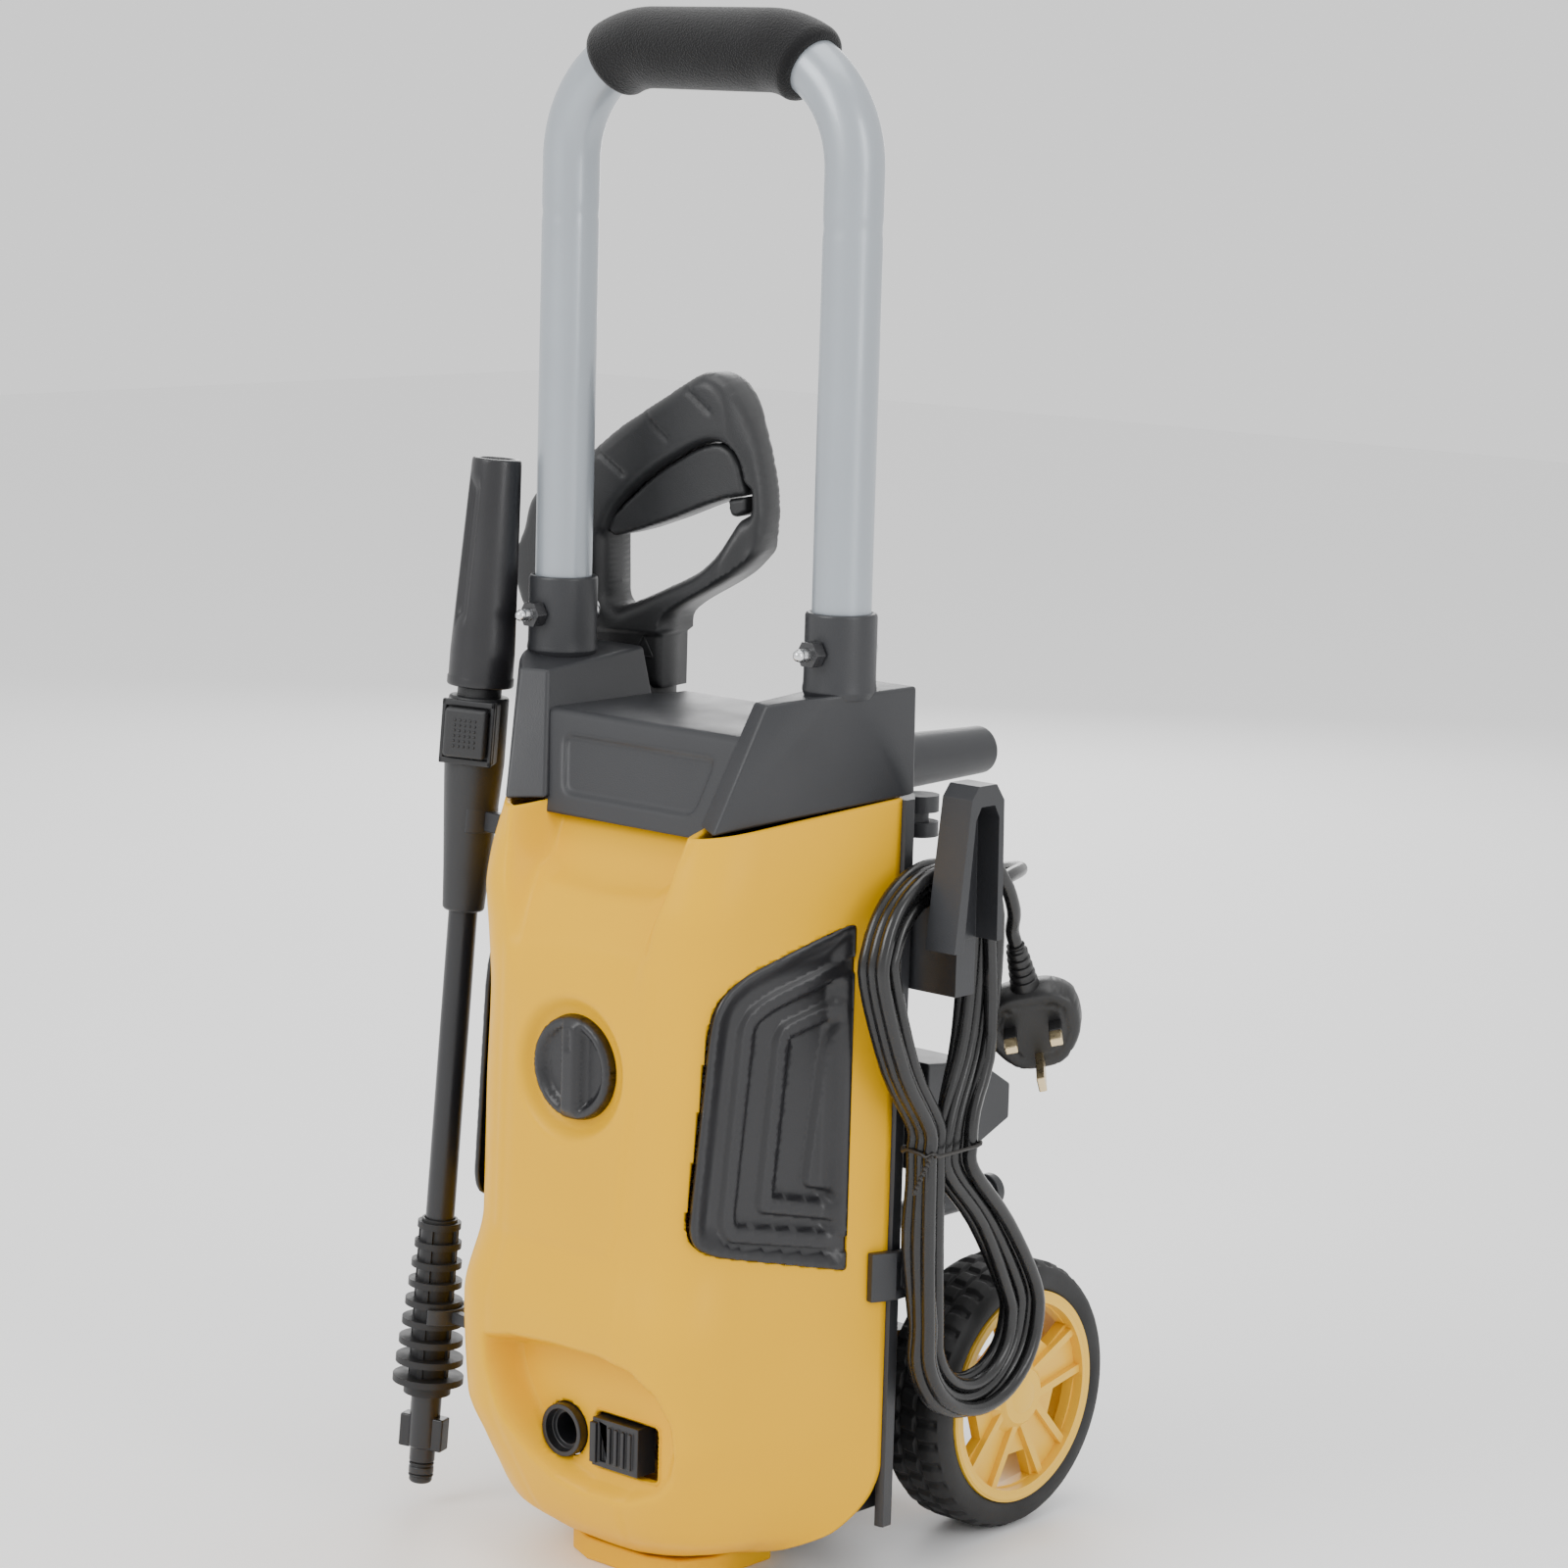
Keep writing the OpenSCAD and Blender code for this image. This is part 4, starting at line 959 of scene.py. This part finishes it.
def make_handle():
    line = handle_line()
    radii = []
    for p in line:
        dent = math.exp(-((p.z - 655) / 3.0) ** 2) if abs(p.x) > 80 else 0
        radii.append(TUBE_R * (1 - 0.028 * dent))
    put(tube("handle_tube_looks", line, radii, "grey_tube", 56), "body", "grey_tube", "handle_tube")
    start = math.radians(60)
    bend_x = LEG_X - BEND_R
    half = [Vector((bend_x + BEND_R * math.cos(a), 0, TOP_Z - BEND_R + BEND_R * math.sin(a)))
            for a in (mix(start, math.pi / 2, i / 16) for i in range(17))]
    half += [Vector((mix(bend_x, 0, i / 14), 0, TOP_Z)) for i in range(1, 15)]
    line = half + [Vector((-p.x, 0, p.z)) for p in reversed(half[:-1])]
    length = path_length(line)
    points, radii, run = [line[0] + (line[0] - line[1]).normalized() * 0.2], [TUBE_R + 0.2], 0.0
    dense = []
    for a, b in zip(line, line[1:]):
        dense += [a.lerp(b, k / 3) for k in range(3)]
    dense.append(line[-1])
    last = dense[0]
    for p in dense:
        run += (p - last).length
        last = p
        d = min(run, length - run)
        edge = (1 - (1 - min(1, (d + 0.05) / 4.5)) ** 2) ** 0.5
        wave = 0.12 * math.sin(run * 0.043)
        points.append(p)
        radii.append(min(FOAM_R, mix(15.6, FOAM_R - 0.35, edge) + wave * edge))
    points.append(line[-1] + (line[-1] - line[-2]).normalized() * 0.2)
    radii.append(TUBE_R + 0.2)
    foam = put(tube("foam_grip_looks", points, radii, "grip_foam", 72), "body", "grip_foam", "foam_grip")
    first = None
    for name, side in (("right", 1), ("left", -1)):
        profile = [(0, -32.1), (1.4, -31.8), (2.4, -30.9), (2.9, -29.6), (3, -28.6)]
        for k in range(5):
            profile += [(2.7, -28.3 + k), (3.0, -27.9 + k)]
        profile += [(3, 17), (5.5, 17.4), (5.5, 20.6), (4.9, 21.4), (0, 21.4)]
        bolt = turned("handle_bolt_" + name, profile, (side * LEG_X, 0, 460), (0, 1, 0), "zinc_steel", 32)
        put(bolt, "body", "zinc_steel")
        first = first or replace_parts(bolt, "handle_bolts")
    softened("handle_nuts", 0.7, 3)


# ---------- wheels ----------

def make_tyre(side):
    """A treaded solid tyre: lateral grooves across two ribs."""
    profile = [(54.6, 61.5), (56.6, 60.2), (60, 60), (63.6, 60.6), (66.2, 62.4), (67.4, 64.8), (68.5, 66.5),
               (68.9, 69),
               (68.9, 73.4), (66.9, 74.0), (66.9, 75.6), (68.9, 76.2), (68.9, 83.8), (66.9, 84.4),
               (66.9, 86.0),
               (68.9, 86.6), (68.9, 91), (68.5, 93.5), (67.4, 95.2), (66.2, 97.6), (63.6, 99.4), (60, 100),
               (56.6, 99.8), (54.6, 98.5)]
    count = 216
    rows = []
    for r, x in profile:
        row = []
        for i in range(count):
            shift = 2 if 75 < x < 85 else 0
            groove = 1.7 if (i + shift) % 6 < 2 and r > 67 else 0
            a = math.tau * (i + 0.25 * math.sin(x * 0.4)) / count
            row.append(Vector((side * x, AXLE_Y + (r - groove) * math.cos(a),
                               TYRE_R + (r - groove) * math.sin(a))))
        rows.append(row)
    rows.append(rows[0])
    name = "right" if side > 0 else "left"
    tyre = grid("tyre_looks_" + name, rows, "wheel_tyre", closed=True)
    modifier(tyre, "WELD", merge_threshold=0.00001)
    evaluated(tyre)
    bm = bmesh.new()
    bm.from_mesh(tyre.data)
    bmesh.ops.recalc_face_normals(bm, faces=bm.faces)
    bm.to_mesh(tyre.data)
    bm.free()
    rounded(tyre, 0.4, 2, 30)
    put(tyre, "wheel_" + name, "wheel_tyre", "tyre_" + name)
    cap = turned("hub_cap_" + name, [(0, 100.3), (5, 100.1), (9, 99.5), (12.2, 98.2), (13.6, 96.4),
                                     (14.2, 93), (0, 93)],
                 (0, AXLE_Y, TYRE_R), (side, 0, 0), "wheel_rim", 48)
    put(cap, "wheel_" + name, "wheel_rim")
    lip = turned("rim_lip_" + name, [(49.5, 98.4), (50.6, 99.9), (53.0, 100.3), (54.4, 99.2), (54.5, 96),
                                     (49.6, 96)],
                 (0, AXLE_Y, TYRE_R), (side, 0, 0), "wheel_rim", 96)
    put(rounded(lip, 0.3, 2, 25), "wheel_" + name, "wheel_rim")
    softened("rim_" + name, 1.1, 3)


# ---------- knob ----------

def make_knob():
    circle = arc(0, 0, KNOB_R, 0, 354, 59)
    pocket_edge = arc(0, 0, 21.2, 0, 352.5, 47)

    def height(p, d, face):
        if face < 0:
            return 0.0
        r = math.hypot(p[0], p[1])
        rim = 5.2 * (1 - (1 - min(1, d / 2.0)) ** 2) ** 0.5
        pocket = min(21.2 - r, abs(p[0]) - 4.6)
        h = rim - (3.9 * smooth(pocket / 3.2) if pocket > 0 else 0)
        if abs(p[0]) < 5.8 and r < 23.5:
            h = max(h, rim + 2.0 * smooth((5.8 - abs(p[0])) / 2.2) * smooth((23.5 - r) / 3.5))
        if abs(p[0] + 0) < 0.9 and p[1] > 9 and r < 19:
            h -= 0.8
        return h

    knob = pillow("selector_knob_looks", circle, [], height,
                  lambda x, z, t: Vector((x, -76.8 - t, KNOB_Z + z)),
                  "black_trim", 1.5, [pocket_edge, offset_loop(pocket_edge, 3.2)])
    put(knob, "knob", "black_trim", "selector_knob")


# ---------- gun ----------

GUN_OUTLINE = [(-28, 419), (-28, 440), (-31, 448), (-52, 452), (-59, 468), (-57, 491), (-53, 511), (-18, 535),
               (-1, 549),
               (21, 563), (32, 570), (42, 576.3), (49, 578.6), (56, 577.5), (63, 572.5), (70, 563), (76, 549),
               (80, 535),
               (83, 521), (84, 507), (81.5, 494), (73, 484), (58, 473.5), (37, 461.5), (29, 455), (29, 419)]
HAND_HOLE = [(-3, 462), (1, 458), (15, 464), (46, 479), (57, 489), (63.5, 499), (68, 507), (74, 510),
             (73.5, 524),
             (70.5, 535), (66, 542), (59, 545), (51, 544), (42, 540), (22, 528), (10, 518), (0, 507),
             (-4, 498)]
TRIGGER = [(-9, 500), (-1, 506.3), (10.8, 517), (22.5, 527), (42.3, 539), (51.3, 543), (59, 544),
           (65.3, 541.2),
           (69.6, 534.6), (72.5, 524), (72.8, 519), (63, 517), (47, 511), (31, 504.2), (11, 496.8), (-3, 493)]
LOCK = [(62.3, 516.2), (72.6, 518.2), (73, 510.6), (67.6, 507.6), (63.8, 508), (62.5, 511)]
GRIP_GROOVES = [((-11, 537), (6, 525)), ((16, 557), (31, 544)), ((41, 570), (55, 559))]


def on_gun(u, z, t):
    c, s = math.cos(GUN_TURN), math.sin(GUN_TURN)
    return GUN_AT + Vector((u * c - t * s, u * s + t * c, z))


def round_edge(d, radius, power=2.2):
    return (1 - (1 - min(1, max(0, d) / radius)) ** power) ** (1 / power)


def make_gun():
    outline = fillet(GUN_OUTLINE, [0.5, 5, 5, 5, 8, 6, 8, 6, 6, 6, 6, 6, 5, 6, 8, 8, 8, 8, 8, 8, 8, 8, 7, 6,
                                   4, 0.5], 3)
    hole = fillet(HAND_HOLE, [6, 3, 6, 6, 6, 5, 4, 2, 5, 6, 6, 6, 6, 6, 6, 6, 6, 4], 3)

    def rim(p):
        """Half the width of the flat band round the outside: broad below, narrow at the back of the guard."""
        width = 4.5 + 12.3 * smooth((506 - p[1]) / 26) + 2.5 * smooth((p[1] - 548) / 16)
        width = mix(width, 14.0, smooth((30 - p[0]) / 20) * smooth((500 - p[1]) / 20))
        top = p[1] - (548 + 0.7 * p[0])
        return mix(width, 3.0, smooth((top + 26) / 12) * (1 - smooth((p[0] - 38) / 12)))

    def height(p, d, face):
        if p[1] < 447:
            return mix(12.5, 13.5, smooth((d - 1) / 3)) * mix(0.93, 1, round_edge(d, 1.5))
        out, hand = edge_distance(p, outline), edge_distance(p, hole)
        base = rim(p)
        full = mix(16.9, 12.5, smooth((p[0] - 62) / 14))
        half = base + (max(full, base) - base) * round_edge(out, 10)
        pad = smooth((p[1] - 492 - 0.38 * max(0, p[0])) / 7)
        inner = mix(full * round_edge(hand, 9.5), 11.6 + 5 * round_edge(hand, 6), pad)
        half = min(half, inner)
        for a, b in GRIP_GROOVES:
            half -= 1.6 * math.exp(-(edge_distance(p, [a, b]) / 0.95) ** 2) if out > 0.3 else 0
        return max(0.0, half)

    gun = pillow("gun_shell_looks", outline, [hole], height, on_gun, "gun_plastic", 1.7,
                 [offset_loop(outline, 4.5)])
    put(gun, "gun", "gun_plastic", "gun_shell")
    profile = [(8, 390), (16.4, 390), (17.4, 391.2), (17.4, 402), (16.4, 403), (16.4, 405), (17.4, 406),
               (17.4, 422),
               (15.8, 428), (13.5, 432), (8, 432)]
    put(rounded(turned("gun_muzzle", profile, on_gun(10, 0, 0), (0, 0, 1), "gun_plastic", 56), 0.4, 2, 25),
        "gun", "gun_plastic")
    arrow = [(12.5, 434.5), (18.2, 445), (24, 434.5)]
    for name, face in (("front", -1), ("rear", 1)):
        loop = [on_gun(u, z, face * 13.5) for u, z in arrow + arrow[:1]]
        line = []
        for a, b in zip(loop, loop[1:]):
            line += [a.lerp(b, k / 8) for k in range(8)]
        put(tube("gun_mark_" + name, line + [loop[-1]], [0.45] * (len(line) + 1), "gun_plastic", 10), "gun",
            "gun_plastic")
        stem = [on_gun(18.2, 426 + k, face * 13.5) for k in range(6)]
        put(tube("gun_mark_stem_" + name, stem, [1.0] * 6, "gun_plastic", 10), "gun", "gun_plastic")
    shape = fillet(TRIGGER, [2, 4, 4, 4, 4, 4, 4, 4, 4, 2, 1.5, 4, 4, 4, 5, 3], 3)
    trigger = pillow("gun_trigger_looks", shape, [], lambda p, d, face: 9.8 + 2.6 * round_edge(d, 3.0),
                     on_gun,
                     "gun_plastic", 1.6)
    put(trigger, "trigger", "gun_plastic", "gun_trigger")
    lug = pillow("gun_lock_looks", fillet(LOCK, [1, 1, 2, 3, 2, 2], 3), [],
                 lambda p, d, face: 7.0 + 2.4 * round_edge(d, 2.2), on_gun, "gun_plastic", 1.2)
    put(lug, "lock", "gun_plastic", "gun_lock")
    softened("gun_inlet", 0.5, 2)


# ---------- lance ----------

def lance_matrix():
    """The lance's own frame: along +Z from its foot, as the CAD turns it."""
    d = LANCE_HEAD - LANCE_FOOT
    tilt = -math.asin(d.y / d.length)
    return (Matrix.Translation(LANCE_FOOT) @ Matrix.Rotation(math.atan2(d.x, d.z), 4,
            "Y") @ Matrix.Rotation(tilt, 4, "X"))


LANCE = lance_matrix()


def lance_turned(name, profile, body, slot, *nodes, sides=64, bevel=0.4):
    obj = turned(name, profile, LANCE @ Vector((0, 0, 0)), LANCE.to_3x3() @ Vector((0, 0, 1)), slot, sides)
    return put(rounded(obj, bevel, 2, 25), body, slot, *nodes)


def make_lance():
    shaft = [(0, 0), (5.0, 0), (5.9, 1.1), (5.9, 3.2), (4.9, 3.5), (4.9, 4.6), (6.4, 5), (6.4, 8.4),
             (5.6, 8.8), (5.6, 11),
             (6.5, 11.4), (6.5, 18.5), (7.8, 19.5), (7.8, 51), (7.3, 51.5), (7.3, 299), (0, 299)]
    lance_turned("lance_shaft_looks", shaft, "lance", "black_trim", "lance_shaft")
    for k, s in enumerate((3.9, 9.9)):
        lance_turned(f"lance_seal_{k + 1}",
                     [(4.6, s - 0.9), (6.1, s - 0.7), (6.5, s), (6.1, s + 0.7), (4.6, s + 0.9)],
                     "lance", "bumper_rubber", bevel=0.2)
    for k, turn in enumerate((20, 200)):
        base = LANCE @ Matrix.Rotation(math.radians(turn), 4, "Z")
        verts = [base @ Vector((x, y, z)) for z in (18, 35) for x,
                 y in ((5.5, -4.5), (12, -4.5), (12, 4.5), (5.5, 4.5))]
        lug = add_object(f"lance_lug_{k + 1}", verts, BOX_FACES, "black_trim")
        put(rounded(lug, 1.0, 3), "lance", "black_trim")
    softened("lance_bumper", 0.5, 2)
    grip = [(7.6, 297), (9.4, 296), (10.5, 297.2), (11.6, 318), (13.6, 348), (15, 371), (15, 403),
            (14.4, 404), (11, 404),
            (11, 408.5), (7.6, 408.5)]
    lance_turned("lance_grip_looks", grip, "lance", "gun_plastic", "lance_grip")
    turn = LANCE @ Matrix.Rotation(math.radians(-62), 4, "Z")

    def block(name, lo, hi, body, slot, bevel, *nodes):
        verts = [turn @ Vector((x, y, z)) for z in (lo[2], hi[2]) for x, y in
                 ((lo[0], lo[1]), (hi[0], lo[1]), (hi[0], hi[1]), (lo[0], hi[1]))]
        obj = add_object(name, verts, BOX_FACES, slot)
        return put(rounded(obj, bevel, 4), body, slot, *nodes)

    block("lance_catch_block", (-4, -13.5, 371), (14.6, 13.5, 403), "lance", "gun_plastic", 2.2)
    for k, (lo, hi) in enumerate((((14, -13.5, 371), (17, -11.3, 403)), ((14, 11.3, 371), (17, 13.5, 403)),
                                  ((14, -13.5, 371), (17, 13.5, 374.2)),
                                  ((14, -13.5, 399.8), (17, 13.5, 403)))):
        block(f"lance_catch_rim_{k + 1}", lo, hi, "lance", "gun_plastic", 0.7)
    block("lance_button_looks", (14.6, -10.9, 374.7), (20.9, 10.9, 399.3), "release_button", "gun_plastic",
          2.0, "lance_button")
    dots = []
    for i in range(5):
        for k in range(6):
            dots.append((2.6 * (i - 2), 387 + 2.6 * (k - 2.5)))
    verts, faces = [], []
    for y, z in dots:
        base = len(verts)
        for r, h in ((0.8, 20.7), (0.65, 21.2), (0.3, 21.45)):
            verts += [turn @ Vector((h, y + r * math.cos(math.tau * i / 8),
                                     z + r * math.sin(math.tau * i / 8)))
                      for i in range(8)]
        for ring in range(2):
            faces += [(base + 8 * ring + i, base + 8 * ring + (i + 1) % 8, base + 8 * ring + 8 + (i + 1) % 8,
                       base + 8 * ring + 8 + i) for i in range(8)]
        faces += [tuple(base + 16 + i for i in range(8)), tuple(base + i for i in reversed(range(8)))]
    put(add_object("lance_button_dots", verts, faces, "gun_plastic"), "release_button", "gun_plastic")
    make_nozzle()
    make_lance_clips()


def make_lance_clips():
    """Two slim cradles: each holds the side of the lance that faces the shell."""
    for k, (low, high, r, reach) in enumerate(((337, 349, 11.4, 41), (86, 94, 14.6, 49))):
        outline = arc(0, 0, r + 2.4, -55, 75, 18) + arc(0, 0, r + 0.2, 75, -55, 18)
        verts, n = [], len(outline)
        for s in (low, high):
            verts += [LANCE @ Vector((x, y, s)) for x, y in outline]
        faces = [tuple(range(n))[::-1], tuple(range(n, 2 * n))]
        faces += [(i, (i + 1) % n, n + (i + 1) % n, n + i) for i in range(n)]
        cradle = rounded(add_object(f"lance_cradle_{k + 1}", verts, faces, "black_shell"), 0.7, 2)
        put(cradle, "body", "black_shell", *(["lance_clips"] if k == 0 else []))
        verts = [LANCE @ Vector((x, y, s)) for s in (low + 1, high - 1) for x, y in
                 ((r + 1, -3), (reach, -4), (reach, 4), (r + 1, 3))]
        arm = add_object(f"lance_arm_{k + 1}", verts, BOX_FACES, "black_shell")
        put(rounded(arm, 0.8, 2), "body", "black_shell")


def make_nozzle():
    """A tapering head with two long grooves, a turned opening and a ring at its root."""
    profile = [(16.0, 409), (16.6, 410), (16.6, 413.4), (16.1, 414.2), (16.1, 424)]
    profile += [(mix(16.1, 12.3, k / 24), mix(426, 519.5, k / 24)) for k in range(25)]
    profile += [(12.1, 521.4), (11.4, 522), (9.0, 522), (8.0, 521), (8.0, 500), (4.1, 500), (4.1, 486),
                (0.6, 486), (0.6, 409)]
    count = 96
    rows = []
    for r, s in profile:
        row = []
        for i in range(count):
            a = math.tau * i / count
            deep = 0
            if r > 12 and 424 < s < 520:
                for centre in (-1.75, 1.39):
                    off = abs((a - centre + math.pi) % math.tau - math.pi) * r
                    length = smooth((s - 440) / 6) * smooth((512 - s) / 6)
                    deep += 2.4 * smooth((5.2 - off) / 2.6) * length
                off = abs((a + 0.15 + math.pi) % (math.tau / 3) - math.pi / 3)
            row.append(LANCE @ Vector(((r - deep) * math.cos(a), (r - deep) * math.sin(a), s)))
        rows.append(row)
    rows.append(rows[0])
    head = grid("nozzle_head_looks", rows, "black_trim", closed=True)
    modifier(head, "WELD", merge_threshold=0.00001)
    evaluated(head)
    bm = bmesh.new()
    bm.from_mesh(head.data)
    bmesh.ops.recalc_face_normals(bm, faces=bm.faces)
    bm.to_mesh(head.data)
    bm.free()
    head.data.shade_smooth()
    rounded(head, 0.35, 2, 35)
    put(head, "nozzle", "black_trim", "nozzle_head")


# ---------- everything ----------

make_front_shell()
vents = [make_vent(1), make_vent(-1)]
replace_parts(vents[0], "side_vents")
make_top_cover()
make_handle()
for side in (1, -1):
    make_tyre(side)
make_knob()
make_gun()
make_lance()
SOFT_EDGES = {
    "back_shell": 1.4, "base_foot": 1.6, "cable_hook": 1.5, "hose_pegs": 1.2, "detergent_tank": 3.5,
    "tank_cap": 1.2,
    "side_clips": 0.6, "rear_clip": 0.8, "gun_holster": 0.8, "axle_carrier": 1.4, "axle": 0.6,
    "axle_washers": 0.4, "outlet_socket": 0.6, "outlet_lock": 0.5, "water_inlet": 0.8, "cord_gland": 0.6,
    "nozzle_insert": 0.2, "switch_box": 0.8, "capacitor": 1.0, "outlet_pipe": 0.4, "motor_case": 0.6,
    "motor_end_bells": 0.8, "motor_cradle": 0.8, "stator": 0.8, "cooling_fan": 0.3, "pump_housing": 0.8,
    "pump_head": 0.8}
for name, width in SOFT_EDGES.items():
    softened(name, width)


floor = bpy.data.objects.new("floor", bpy.data.meshes.new("floor"))
floor.data.from_pydata([(-6, -6, 0), (6, -6, 0), (6, 6, 0), (-6, 6, 0)], [], [(0, 1, 2, 3)])
floor.data.materials.append(MATERIALS["floor"])
bpy.context.scene.collection.objects.link(floor)
studio()
for name, node in NODES.items():
    if not node.hide_render:
        node.data.materials.clear()
        node.data.materials.append(MATERIALS[SLOT_OF[name]])
